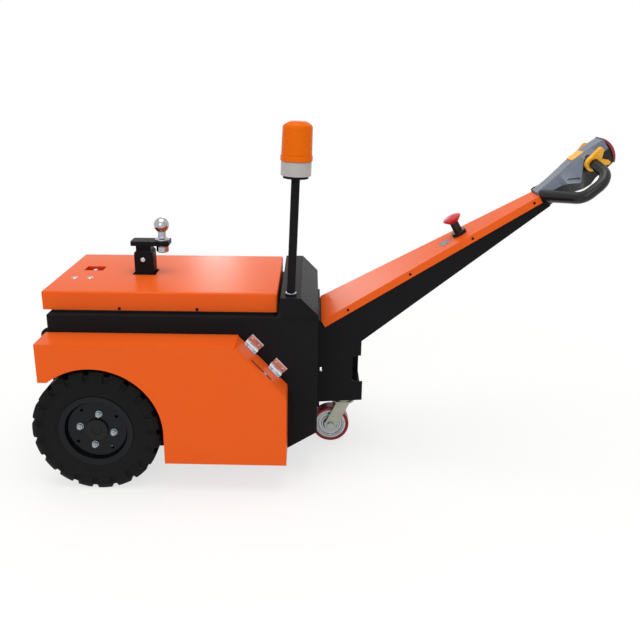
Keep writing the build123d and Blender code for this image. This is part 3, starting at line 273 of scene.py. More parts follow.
def swept(path: np.ndarray, radius: np.ndarray, reference: Vector, sides: int) -> Shape:
    """Carries a circle along a path.

    At each point the circle lies in the plane of two axes: the path's direction crossed with the reference,
    and that crossed with the direction.

    Args:
        path: The centre line.
        radius: The circle's radius at each point of the path.
        reference: A direction that the path never runs along.
        sides: How many points the circle has.

    Returns:
        The tube, closed at its ends.
    """
    along = np.gradient(path, axis=0)
    along /= np.linalg.norm(along, axis=1, keepdims=True)
    first = np.cross(along, np.array(reference, float))
    first /= np.linalg.norm(first, axis=1, keepdims=True)
    second = np.cross(along, first)
    angle = np.linspace(0, 2 * np.pi, sides, endpoint=False)
    ring = np.cos(angle)[None, :, None] * first[:, None] + np.sin(angle)[None, :, None] * second[:, None]
    return skin(path[:, None] + ring * np.asarray(radius, float)[:, None, None])


def rounded_outline(width: float, height: float, radius: float, inset: float) -> np.ndarray:
    """A rectangle with round corners, drawn inwards by an inset.

    Args:
        width: The rectangle's size along X.
        height: Its size along Y.
        radius: Its corner radius before the inset.
        inset: How far inside the line is drawn.

    Returns:
        The outline's points.
    """
    x, y = width / 2 - inset, height / 2 - inset
    corner = max(radius - inset, radius / 20)
    return rounded([(x, -y), (x, y), (-x, y), (-x, -y)], [corner] * 4, closed=True)


def hexagon(across: float, inset: float, sides: int = 48) -> np.ndarray:
    """A hexagon, drawn inwards by an inset.

    The radius at an angle is half the distance across the flats over the cosine of the angle from the nearest
    flat's middle.

    Args:
        across: The distance across the flats.
        inset: How far inside the line is drawn.
        sides: How many points it has, a multiple of six.

    Returns:
        The outline's points.
    """
    angle = np.linspace(0, 2 * np.pi, sides, endpoint=False)
    from_flat = np.mod(angle, np.pi / 3) - np.pi / 6
    radius = (across / 2 - inset) / np.cos(from_flat)
    return np.stack([radius * np.cos(angle), radius * np.sin(angle)], axis=-1)


def plated(outlines: Sequence[np.ndarray], levels: Sequence[float]) -> Shape:
    """Stacks outlines at levels into a plate with shaped edges.

    Args:
        outlines: Outlines with the same number of points.
        levels: The Z of each outline.

    Returns:
        The plate.
    """
    rings = [
        np.column_stack([outline, np.full(len(outline), level)]) for outline, level in zip(outlines, levels)
    ]
    return skin(np.stack(rings))


def standing(origin: Vector, out: Vector, along: Vector = UP) -> Matrix:
    """A matrix that sets a form's Z axis along a direction.

    Args:
        origin: Where the form's origin goes.
        out: Where its Z axis points.
        along: Near which way its X axis points.

    Returns:
        The matrix.
    """
    third = Vector(out).normalized()
    apart = abs(third.dot(Vector(along).normalized())) < NEARLY_PARALLEL
    helper = Vector(along) if apart else Vector((1, 0, 0))
    first = (helper - third * helper.dot(third)).normalized()
    second = third.cross(first)
    matrix = Matrix((first, second, third)).transposed().to_4x4()
    matrix.translation = origin
    return matrix


# Shader groups that several finishes share


class SocketKind(Enum):
    """The kinds of socket that the shared groups have."""

    NUMBER = "NodeSocketFloat"
    COLOUR = "NodeSocketColor"


@dataclass(frozen=True)
class Wiring:
    """A node tree, with short ways to add nodes to it and to fill their inputs."""

    tree: bpy.types.NodeTree

    def add(self, kind: str, inputs: dict[int | str, object], **settings: object) -> bpy.types.Node:
        """Adds a node and fills its inputs.

        Args:
            kind: The node's type, without the word that every shader node's type begins with.
            inputs: What each input gets, as the fill method takes it.
            **settings: The node's own settings, such as its operation. They are set first.

        Returns:
            The node.
        """
        node = self.tree.nodes.new(f"ShaderNode{kind}")
        for name, value in settings.items():
            setattr(node, name, value)
        self.fill(node, inputs)
        return node

    def fill(self, node: bpy.types.Node, inputs: dict[int | str, object]) -> None:
        """Fills a node's inputs.

        Args:
            node: The node.
            inputs: What each input gets, by its place or name: an output is linked to it, and any other value
                is set on it.
        """
        for key, value in inputs.items():
            if isinstance(value, bpy.types.NodeSocket):
                self.tree.links.new(value, node.inputs[key])
            else:
                node.inputs[key].default_value = value

    def math(self, operation: str, *values: object) -> bpy.types.NodeSocket:
        """Adds a math node for outputs or numbers, and gives its result."""
        return self.add("Math", dict(enumerate(values)), operation=operation).outputs[0]

    def place(self) -> bpy.types.NodeSocket:
        """Gives the object's own coordinates."""
        return self.add("TexCoord", {}).outputs["Object"]

    def noise(self, place: bpy.types.NodeSocket, scale: object, detail: float) -> bpy.types.NodeSocket:
        """Adds noise from zero to one at a place, and gives its value."""
        return self.add("TexNoise", {"Vector": place, "Scale": scale, "Detail": detail}).outputs["Fac"]

    def group(self, shared: SharedGroup, **inputs: object) -> bpy.types.NodeSocket:
        """Places a shared group with its inputs filled by name, and gives its one output."""
        return self.add("Group", inputs, node_tree=shared.tree()).outputs[0]


@dataclass(frozen=True)
class SharedGroup:
    """A shader node group with named inputs and one output, drawn the first time that it is asked for."""

    name: str
    inputs: dict[str, SocketKind]
    output: tuple[str, SocketKind]
    draw: Callable[[Wiring, bpy.types.bpy_prop_collection], bpy.types.NodeSocket]

    def tree(self) -> bpy.types.ShaderNodeTree:
        """Finds or makes the group.

        Returns:
            The group's node tree.
        """
        known = bpy.data.node_groups.get(self.name)
        if known is not None:
            return known
        made = bpy.data.node_groups.new(self.name, "ShaderNodeTree")
        for label, kind in self.inputs.items():
            made.interface.new_socket(label, in_out="INPUT", socket_type=kind.value)
        label, kind = self.output
        made.interface.new_socket(label, in_out="OUTPUT", socket_type=kind.value)
        wiring = Wiring(made)
        given, result = made.nodes.new("NodeGroupInput"), made.nodes.new("NodeGroupOutput")
        wiring.fill(result, {label: self.draw(wiring, given.outputs)})
        return made


def draw_tone(wiring: Wiring, given: bpy.types.bpy_prop_collection) -> bpy.types.NodeSocket:
    """Draws a colour times a slow noise: one plus or minus the spread.

    Args:
        wiring: The group's tree.
        given: The group's inputs.

    Returns:
        The colour.
    """
    noise = wiring.noise(wiring.place(), given["Scale"], detail=3.0)
    spread = wiring.math("MULTIPLY", wiring.math("SUBTRACT", noise, 0.5), given["Spread"])
    factor = wiring.math("MULTIPLY_ADD", spread, 2.0, 1.0)
    tinted = wiring.add("VectorMath", {0: given["Colour"], "Scale": factor}, operation="SCALE")
    return tinted.outputs["Vector"]


def draw_roughness(wiring: Wiring, given: bpy.types.bpy_prop_collection) -> bpy.types.NodeSocket:
    """Draws a roughness plus a noise of the spread's size, as where hands and cloths have passed.

    Args:
        wiring: The group's tree.
        given: The group's inputs.

    Returns:
        The roughness.
    """
    noise = wiring.noise(wiring.place(), given["Scale"], detail=4.0)
    values = {0: wiring.math("SUBTRACT", noise, 0.5), 1: given["Spread"], 2: given["Roughness"]}
    return wiring.add("Math", values, operation="MULTIPLY_ADD", use_clamp=True).outputs[0]


def draw_grain(wiring: Wiring, given: bpy.types.bpy_prop_collection) -> bpy.types.NodeSocket:
    """Draws a fine grain as noise that stands from zero to one."""
    return wiring.noise(wiring.place(), given["Scale"], detail=2.0)


def draw_dust(wiring: Wiring, given: bpy.types.bpy_prop_collection) -> bpy.types.NodeSocket:
    """Draws dust that lies thicker near the floor: a mask that falls with height, times noise, mixes colours.

    Args:
        wiring: The group's tree.
        given: The group's inputs.

    Returns:
        The mixed colour.
    """
    place = wiring.place()
    height = wiring.add("SeparateXYZ", {0: place}).outputs["Z"]
    fall = wiring.add("MapRange", {
        "Value": height, "From Min": 0.0, "From Max": given["Reach"], "To Min": 1.0, "To Max": 0.0,
    })
    broken = wiring.math("MULTIPLY", fall.outputs["Result"], wiring.noise(place, scale=38.0, detail=5.0))
    mask = wiring.math("MULTIPLY", broken, given["Amount"])
    mixed = wiring.add("Mix", {"Factor": mask, "A": given["Colour"], "B": given["Dust"]}, data_type="RGBA")
    return mixed.outputs["Result"]


TONE_DRIFT = SharedGroup(
    "tone_drift",
    {"Colour": SocketKind.COLOUR, "Scale": SocketKind.NUMBER, "Spread": SocketKind.NUMBER},
    ("Colour", SocketKind.COLOUR),
    draw_tone,
)
ROUGH_DRIFT = SharedGroup(
    "rough_drift",
    {"Roughness": SocketKind.NUMBER, "Scale": SocketKind.NUMBER, "Spread": SocketKind.NUMBER},
    ("Roughness", SocketKind.NUMBER),
    draw_roughness,
)
FINE_GRAIN = SharedGroup(
    "fine_grain", {"Scale": SocketKind.NUMBER}, ("Height", SocketKind.NUMBER), draw_grain
)
FLOOR_DUST = SharedGroup(
    "floor_dust",
    {
        "Colour": SocketKind.COLOUR, "Dust": SocketKind.COLOUR, "Reach": SocketKind.NUMBER,
        "Amount": SocketKind.NUMBER,
    },
    ("Colour", SocketKind.COLOUR),
    draw_dust,
)


def linear(code: str) -> tuple[float, float, float, float]:
    """Turns a colour written as six hexadecimal digits into linear light.

    Each part of it follows the usual display curve: a straight line near black and a power above.

    Args:
        code: The digits, two each for red, green and blue.

    Returns:
        Red, green, blue and an alpha of one.
    """
    values = np.array([int(code[place : place + 2], 16) / 255 for place in (0, 2, 4)])
    curve = np.where(values <= 0.04045, values / 12.92, ((values + 0.055) / 1.055) ** 2.4)
    return (*(float(value) for value in curve), 1.0)


@dataclass(frozen=True)
class Finish:
    """A surface finish: its colour and gloss, and the drift, grain and dust that break them up."""

    name: str
    slot: str
    colour: str
    roughness: float
    metallic: float = 0.0
    specular: float = 0.5
    coat: float = 0.0
    coat_roughness: float = 0.05
    tone_spread: float = 0.05
    tone_scale: float = 4.0
    rough_spread: float = 0.08
    rough_scale: float = 14.0
    grain_scale: float = 700.0
    grain_height: float = 0.00004
    dust: float = 0.0
    dust_reach: float = 0.25
    dust_colour: str = "8A8178"
    # A painted glow, given off in the surface's own colour.
    emission: float = 0.0

    def material(self) -> bpy.types.Material:
        """Finds or makes the finish as a node material.

        Returns:
            The material, whose colour, roughness and normal come from the shared groups.
        """
        known = bpy.data.materials.get(self.name)
        if known is not None:
            return known
        made = bpy.data.materials.new(self.name)
        made.use_nodes = True
        wiring, shader = Wiring(made.node_tree), made.node_tree.nodes["Principled BSDF"]
        colour = wiring.group(
            TONE_DRIFT, Colour=linear(self.colour), Scale=self.tone_scale, Spread=self.tone_spread
        )
        if self.dust > 0:
            dust = linear(self.dust_colour)
            colour = wiring.group(
                FLOOR_DUST, Colour=colour, Dust=dust, Reach=self.dust_reach, Amount=self.dust
            )
        rough = wiring.group(
            ROUGH_DRIFT, Roughness=self.roughness, Scale=self.rough_scale, Spread=self.rough_spread
        )
        grain = wiring.group(FINE_GRAIN, Scale=self.grain_scale)
        bump = wiring.add("Bump", {"Strength": 1.0, "Distance": self.grain_height, "Height": grain})
        wiring.fill(shader, {
            "Base Color": colour, "Roughness": rough, "Normal": bump.outputs["Normal"],
            "Metallic": self.metallic, "Specular IOR Level": self.specular, "Coat Weight": self.coat,
            "Coat Roughness": self.coat_roughness, "Emission Strength": self.emission,
        })
        # The glow is painted light in the surface's own colour.
        if self.emission > 0:
            wiring.fill(shader, {"Emission Color": colour})
        return made


@dataclass(frozen=True)
class Palette:
    """The finishes of the machine."""

    orange: Finish = Finish(
        "orange_enamel", "orange_paint", "DF5B1E", 0.3, specular=0.06, tone_spread=0.03, grain_scale=260.0,
        grain_height=0.00002, rough_spread=0.06,
    )
    # The pan's orange is darkened and reddened as painted shade and painted inter-reflection inside its
    # recess.
    pan: Finish = Finish("pan_enamel", "orange_paint", "D23A18", 0.34, specular=0.06, tone_spread=0.03)
    black: Finish = Finish(
        "black_enamel", "black_paint", "1C1C1E", 0.3, specular=0.015, tone_spread=0.12, tone_scale=9.0,
        grain_scale=900.0, grain_height=0.00006, rough_spread=0.12,
    )
    rim: Finish = Finish(
        "rim_enamel", "black_paint", "101215", 0.12, specular=0.16, tone_spread=0.1, grain_height=0.00001
    )
    rubber: Finish = Finish(
        "lug_rubber", "tyre_rubber", "131415", 0.55, specular=0.06, tone_spread=0.16, tone_scale=18.0,
        grain_scale=1400.0, grain_height=0.00006, rough_spread=0.14, dust=0.03, dust_reach=0.4,
    )
    seal: Finish = Finish("soft_seal", "seal_rubber", "101010", 0.75, specular=0.15)
    zinc: Finish = Finish(
        "zinc_plate", "zinc", "9FA092", 0.34, metallic=0.85, tone_spread=0.2, tone_scale=42.0,
        rough_spread=0.2, rough_scale=60.0, grain_scale=900.0, grain_height=0.00005,
    )
    bright: Finish = Finish(
        "bright_zinc", "zinc", "C9CCD2", 0.24, metallic=0.95, tone_spread=0.08, tone_scale=60.0,
        rough_spread=0.12,
    )
    bolt: Finish = Finish(
        "bolt_zinc", "zinc", "9DA5AC", 0.22, metallic=0.9, tone_spread=0.12, tone_scale=90.0,
        rough_spread=0.15,
    )
    leaf: Finish = Finish(
        "leaf_steel", "chrome", "DDE0E6", 0.12, metallic=1.0, tone_spread=0.03, rough_spread=0.05,
        grain_height=0.00001,
    )
    chrome: Finish = Finish(
        "chrome_plate", "chrome", "A9ABB0", 0.1, metallic=1.0, tone_spread=0.03, rough_spread=0.05,
        grain_height=0.00001,
    )
    iron: Finish = Finish(
        "rough_casting", "cast_iron", "161618", 0.6, specular=0.2, tone_spread=0.2, tone_scale=20.0,
        grain_scale=500.0, grain_height=0.0002, rough_spread=0.2,
    )
    case: Finish = Finish("case_moulding", "battery_case", "26272B", 0.55)
    grey: Finish = Finish(
        "grey_moulding", "grey_plastic", "616978", 0.36, specular=0.45, tone_spread=0.03,
        grain_scale=1500.0, grain_height=0.00002,
    )
    grip: Finish = Finish(
        "black_moulding", "black_plastic", "0B0D0D", 0.27, specular=0.35, tone_spread=0.06,
        grain_scale=1500.0, grain_height=0.00002,
    )
    yellow: Finish = Finish(
        "yellow_moulding", "yellow_plastic", "EAAA2C", 0.34, specular=0.35, tone_spread=0.03,
        grain_scale=1500.0, grain_height=0.00001,
    )
    red: Finish = Finish(
        "red_moulding", "red_plastic", "C01E2C", 0.28, specular=0.4, coat=0.1, tone_spread=0.04,
        grain_scale=1200.0,
    )
    bumper: Finish = Finish("bumper_moulding", "red_plastic", "8A2A30", 0.34, specular=0.4, tone_spread=0.04)
    white: Finish = Finish("white_moulding", "white_plastic", "A9A5A4", 0.35, specular=0.4, tone_spread=0.03)
    # The lens's faint emission is a painted glow, standing in for light through the amber moulding.
    lens: Finish = Finish(
        "amber_moulding", "amber_lens", "DA6202", 0.14, specular=0.06, tone_spread=0.05, emission=0.02,
        grain_height=0.00001,
    )
    urethane: Finish = Finish(
        "tread_urethane", "red_urethane", "8A0A16", 0.3, specular=0.3, coat=0.05, tone_spread=0.06
    )
    nylon: Finish = Finish("core_moulding", "white_nylon", "C9CCC8", 0.45, tone_spread=0.05)
    # Near-black painted shade: the depth of the lids' slots, and screw heads that stand for their dark holes.
    dark: Finish = Finish("dark_recess", "black_paint", "060606", 0.8, specular=0.2)


PALETTE = Palette()


# Pieces


FRAME_NODES: dict[str, bpy.types.Object] = {}


def merged_mesh(
    name: str, points: np.ndarray, faces: Sequence[Sequence[int]], flatten: bool
) -> bpy.types.Mesh:
    """Makes a mesh and merges its doubled points.

    Args:
        name: The mesh's name.
        points: Its points.
        faces: The corner indices of each face.
        flatten: Whether faces that lie in one plane are joined.

    Returns:
        The mesh.
    """
    mesh = bpy.data.meshes.new(name)
    mesh.from_pydata(points.tolist(), [], faces)
    clean = bmesh.new()
    clean.from_mesh(mesh)
    bmesh.ops.remove_doubles(clean, verts=clean.verts, dist=MERGE_DISTANCE)
    if flatten:
        bmesh.ops.dissolve_degenerate(clean, edges=clean.edges, dist=MERGE_DISTANCE)
        bmesh.ops.dissolve_limit(
            clean, angle_limit=FLAT_ANGLE, verts=clean.verts, edges=clean.edges, use_dissolve_boundaries=False
        )
    clean.to_mesh(mesh)
    clean.free()
    return mesh


def finish_piece(
    name: str, mesh: bpy.types.Mesh, body: str, finish: Finish, replaces: Sequence[str], crease: float,
    bevel: float = 0.0,
) -> None:
    """Shades a mesh, gives it its finish, its bevel and its body, and reports it.

    Args:
        name: The piece's name.
        mesh: Its mesh.
        body: The body that it moves with.
        finish: Its finish.
        replaces: The solids that it stands for.
        crease: The angle in degrees from which an edge is sharp.
        bevel: The width of a live bevel on its sharp edges, zero for none.
    """
    mesh.polygons.foreach_set("use_smooth", np.ones(len(mesh.polygons), bool))
    mesh.set_sharp_from_angle(angle=math.radians(crease))
    mesh.materials.append(finish.material())
    piece = bpy.data.objects.new(name, mesh)
    bpy.context.scene.collection.objects.link(piece)
    if bevel > 0:
        rounding = piece.modifiers.new("edge_round", "BEVEL")
        rounding.width = bevel
        rounding.segments = 3
        rounding.limit_method = "ANGLE"
        rounding.angle_limit = math.radians(crease)
        rounding.harden_normals = True
        rounding.miter_outer = "MITER_ARC"
    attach(piece, body)
    if replaces:
        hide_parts(*replaces)
    LOG.info("%s: %d faces on %s", name, len(mesh.polygons), body)


def add_piece(
    name: str, shape: Shape, body: str, finish: Finish, replaces: Sequence[str] = (), crease: float = 35.0
) -> None:
    """Makes a piece from a form, in place.

    Args:
        name: The piece's name.
        shape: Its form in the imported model's frame.
        body: The body that it moves with.
        finish: Its finish.
        replaces: The solids that it stands for.
        crease: The angle in degrees from which an edge is sharp.
    """
    faces = [face for group in shape.faces for face in group.tolist()]
    mesh = merged_mesh(name, shape.points, faces, flatten=False)
    finish_piece(name, mesh, body, finish, replaces, crease)


def carry(node: str, finish: Finish, bevel: float = 0.0, crease: float = 35.0) -> None:
    """Dresses a solid: a copy of its mesh, merged and cleared of flat edges, with its sharp edges rounded.

    Args:
        node: The solid's node, which the piece replaces.
        finish: Its finish.
        bevel: How wide its edges are rounded.
        crease: The angle in degrees from which an edge is sharp.
    """
    source = FRAME_NODES[node].data
    points = np.zeros(len(source.vertices) * 3)
    source.vertices.foreach_get("co", points)
    corners = np.zeros(len(source.loops), np.int32)
    source.loops.foreach_get("vertex_index", corners)
    name = f"{node}_finished"
    mesh = merged_mesh(name, points.reshape(-1, 3), corners.reshape(-1, 3).tolist(), flatten=True)
    finish_piece(name, mesh, FRAME_NODES[node]["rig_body"], finish, (node,), crease, bevel)


# The machine's sub-assemblies


@dataclass(frozen=True)
class Datum:
    """The drive axle's place along X, from which the machine's places are measured."""

    axle_x: float

    @classmethod
    def read(cls) -> Datum:
        """Reads the axle from the right tyre's box."""
        low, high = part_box("tyre_right")
        return cls((low.x + high.x) / 2)

    def at(self, x: float, y: float, z: float) -> Vector:
        """A point from its distance ahead of the axle, across the machine and above the floor."""
        return Vector((self.axle_x + x, y, z))


@dataclass(frozen=True)
class SlopedFace:
    """A sloped plane that runs along X and Z: its start, and its direction as a run and a rise."""

    start: Vector
    run: float
    rise: float

    @property
    def along(self) -> Vector:
        """The unit direction up or down the slope."""
        return Vector((self.run, 0, self.rise)).normalized()

    @property
    def out(self) -> Vector:
        """The unit direction out of the plane, upwards."""
        return Vector((-self.rise, 0, self.run)).normalized()

    @property
    def span(self) -> float:
        """The slope's length."""
        return math.hypot(self.run, self.rise)

    def point(self, distance: float, across: float, height: float = 0.0) -> Vector:
        """A point from its distance along the slope, across the machine and out of the plane."""
        return self.start + self.along * distance + Vector((0, across, 0)) + self.out * height


@dataclass(frozen=True)
class Fasteners:
    """The small fasteners and welds that the sub-assemblies use."""

    button_radius: float = 0.0052
    button_height: float = 0.0024
    socket_radius: float = 0.0019
    chamfers_across: float = 14.0
    bead_radius: float = 0.0028
    bead_pitch: float = 0.0052
    bead_swell: float = 0.16
    bead_drift: float = 0.07
    drift_rate: float = 0.37
    drift_start: float = 1.3

    def button(self, scale: float = 1.0) -> Shape:
        """A domed screw head with a sunk socket, standing on Z.

        The profile rises from the rim along a quarter ellipse, and drops straight from the socket's edge to
        its floor.

        Args:
            scale: How large it is against the usual size.

        Returns:
            The head.
        """
        turn = np.linspace(0, 1, 7)[:-1]
        dome = np.stack([np.cos(turn * np.pi / 2), np.sin(turn * np.pi / 2)], axis=-1)
        dome *= (self.button_radius, self.button_height)
        foot, sunk = -self.button_height / 4, self.button_height / 3
        socket = [(self.socket_radius, self.button_height), (self.socket_radius, sunk), (0, sunk)]
        profile = np.vstack([[(0, foot), (self.button_radius, foot)], dome, socket])
        return turned(profile * scale, sides=24)

    def hexagon_head(self, across: float, height: float, washer: float = 0.0) -> Shape:
        """A hexagon head on a round washer, standing on Z, with its upper corners turned off.

        Args:
            across: The distance across the flats.
            height: The head's height above the washer.
            washer: The washer's radius, zero for none.

        Returns:
            The head and washer.
        """
        thick = height / 6
        corner = across / self.chamfers_across
        outlines = [hexagon(across, inset) for inset in (0, 0, corner, corner * 3)]
        levels = [-thick / 2, height - corner, height, height + corner / 5]
        head = plated(outlines, [level + (thick if washer else 0) for level in levels])
        if not washer:
            return head
        foot = -thick / 2
        edge = rounded([(0, foot), (washer, foot), (washer, thick), (0, thick)], [0, 0, thick / 3, 0])
        return Shape.joined([head, turned(edge, sides=32)])

    def bead(self, start: Vector, end: Vector, reference: Vector) -> Shape:
        """A weld bead: a straight tube whose radius swells once each pitch by the cosine of its place.

        A second, slower sine lets the swelling drift.

        Args:
            start: One end of the centre line.
            end: The other end.
            reference: A direction across the bead.

        Returns:
            The bead.
        """
        length = (end - start).length
        count = max(8, round(length / self.bead_pitch) * 6)
        share = np.linspace(0, 1, count)[:, None]
        path = np.array(start) + share * (np.array(end) - np.array(start))
        phase = 2 * np.pi * share[:, 0] * length / self.bead_pitch
        drift = self.bead_drift * np.sin(phase * self.drift_rate + self.drift_start)
        radius = self.bead_radius * (1 + self.bead_swell * np.cos(phase) + drift)
        return swept(path, radius, reference, sides=12)


FASTENERS = Fasteners()


@dataclass
class Body:
    """The welded body: tub, console, drive unit, battery, receiver and rear clevis."""

    edge: float = 0.0016
    end_bolt: float = 0.013
    washer_share: float = 0.8

    def build(self) -> None:
        """Dresses the solids and adds the weld seams and end bolts."""
        for node in ("chassis_tub", "console", "receiver", "tow_clevis"):
            carry(node, PALETTE.black, self.edge)
        carry("transaxle", PALETTE.iron, self.edge)
        carry("battery_pack", PALETTE.case, self.edge * 2)
        carry("hood_seal", PALETTE.seal, self.edge)
        self._seams()
        self._end_bolts()

    def _seams(self) -> None:
        """Runs a weld bead along each side of the console's foot."""
        low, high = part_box("console")
        beads = []
        for side in Side:
            y = side.value * abs(low.y)
            start = Vector((low.x + self.edge, y, low.z))
            end = Vector((high.x - self.edge, y, low.z))
            beads.append(FASTENERS.bead(start, end, UP))
        add_piece("console_welds", Shape.joined(beads), "root", PALETTE.black)

    def _end_bolts(self) -> None:
        """Sets four hexagon bolts in the body's rear face."""
        low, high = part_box("chassis_tub")
        head = FASTENERS.hexagon_head(self.end_bolt, self.end_bolt / 2, self.end_bolt * self.washer_share)
        inset = self.end_bolt * 2
        places = [
            standing(Vector((low.x, y, z)), Vector((-1, 0, 0)))
            for y in (low.y + inset, high.y - inset)
            for z in (low.z + inset * 2, high.z - inset)
        ]
        add_piece("end_bolts", head.copies(places), "root", PALETTE.bright)


@dataclass
class Hood:
    """The lift-off hood with its window, studs and skirt screws."""

    datum: Datum
    fold: float = 0.0012
    stud_radius: float = 0.011
    stud_rise: float = 0.004
    stud_sink: float = 0.0002
    pan_sheet: float = 0.002
    knob_radius: float = 0.0075
    knob_drop: float = 0.0005
    screw_x: tuple[float, ...] = (0.066, 0.309)
    screw_level: float = 0.0062

    def build(self) -> None:
        """Dresses the hood and its small parts."""
        carry("hood", PALETTE.orange, self.fold, crease=25.0)
        # The pan takes the orange darkened by painted shade of its recess.
        carry("switch_pan", PALETTE.pan, self.fold / 3)
        self._studs()
        self._knob()
        self._skirt_screws()

    def _studs(self) -> None:
        """Turns a shallow dome over each stud, whose height falls with the square of the radius."""
        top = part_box("hood")[1].z
        low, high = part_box("hood_studs")
        radius, foot = self.stud_radius, top - self.stud_sink
        share = np.linspace(0, 1, 10)
        dome = np.stack([share * radius, top + self.stud_rise * (1 - share**2)], axis=-1)
        stud = turned(np.vstack([dome, [(radius, foot), (0, foot)]]), sides=40)
        places = [
            Matrix.Translation((low.x + radius, low.y + radius, 0)),
            Matrix.Translation((high.x - radius, high.y - radius, 0)),
        ]
        add_piece("stud_domes", stud.copies(places), "root", PALETTE.chrome, ("hood_studs",))

    def _knob(self) -> None:
        """Caps the window's knob with a bright turned knob."""
        low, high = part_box("switch_pan")
        floor, top, radius = low.z + self.pan_sheet, high.z - self.knob_drop, self.knob_radius
        profile = rounded(
            [(0, floor), (radius, floor), (radius, top), (0, top)], [0, 0, radius / 4, 0], steps=5
        )
        place = Matrix.Translation(((low.x + high.x) / 2, (low.y + high.y) / 2, 0))
        add_piece("window_knob", turned(profile, sides=32).moved(place), "root", PALETTE.bright)

    def _skirt_screws(self) -> None:
        """Sets button screws along the foot of both long skirts, near-black as painted shade of their holes.
        """
        low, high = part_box("hood")
        level = low.z + self.screw_level
        places = [
            standing(self.datum.at(x, side.value * high.y, level), Vector((0, side.value, 0)))
            for side in Side
            for x in self.screw_x
        ]
        add_piece("skirt_screws", FASTENERS.button().copies(places), "root", PALETTE.dark)


@dataclass
class Hitch:
    """The ball mount in the receiver, with its ball, nut and pin."""

    mount_edge: float = 0.0028
    pin_edge: float = 0.0008
    ball_radius: float = 0.0254
    neck_radius: float = 0.0135
    seat_radius: float = 0.024
    seat_height: float = 0.004
    cove_height: float = 0.010
    cove_radius: float = 0.006
    shank_radius: float = 0.0094
    nut_across: float = 0.036
    washer: float = 0.004
    edge_radius: float = 0.001

    def build(self) -> None:
        """Dresses the mount, builds the ball and nut, and dresses the pin."""
        carry("ball_mount", PALETTE.black, self.mount_edge)
        self._ball()
        self._nut()
        carry("hitch_pin", PALETTE.bright, self.pin_edge)

    def _ball(self) -> None:
        """Turns the ball: an arc down to the neck, a waist, and a seat that flares in a cove."""
        low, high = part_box("tow_ball")
        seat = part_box("ball_mount")[1].z
        radius, neck, flare = self.ball_radius, self.neck_radius, self.seat_radius
        angle = np.linspace(0, math.pi - math.asin(neck / radius), 40)
        ball = np.stack([radius * np.sin(angle), high.z - radius + radius * np.cos(angle)], axis=-1)
        cove = rounded(
            [ball[-1], (neck, seat + self.cove_height), (flare, seat + self.seat_height), (flare, seat)],
            [0, self.cove_radius, self.edge_radius, 0],
        )[1:]
        shank = [(self.shank_radius, seat), (self.shank_radius, low.z), (0, low.z)]
        shape = turned(np.vstack([ball, cove, shank]), sides=96).moved(self._middle(low, high))
        add_piece("tow_ball_bright", shape, "root", PALETTE.chrome, ("tow_ball",))

    def _nut(self) -> None:
        """Stacks hexagons into a nut with turned corners, under a round washer."""
        low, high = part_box("ball_nut")
        top = high.z - self.washer
        corner = self.nut_across / FASTENERS.chamfers_across
        outlines = [hexagon(self.nut_across, inset) for inset in (corner, 0, 0, corner)]
        nut = plated(outlines, [low.z, low.z + corner, top - corner, top])
        radius, edge = (high.y - low.y) / 2, self.edge_radius
        profile = rounded([(0, top), (radius, top), (radius, high.z), (0, high.z)], [0, edge, edge, 0])
        shape = Shape.joined([nut, turned(profile, sides=48)]).moved(self._middle(low, high))
        add_piece("ball_nut_bright", shape, "root", PALETTE.chrome, ("ball_nut",), crease=25.0)

    @staticmethod
    def _middle(low: Vector, high: Vector) -> Matrix:
        """The move to the middle of a box along X."""
        return Matrix.Translation(((low.x + high.x) / 2, 0, 0))


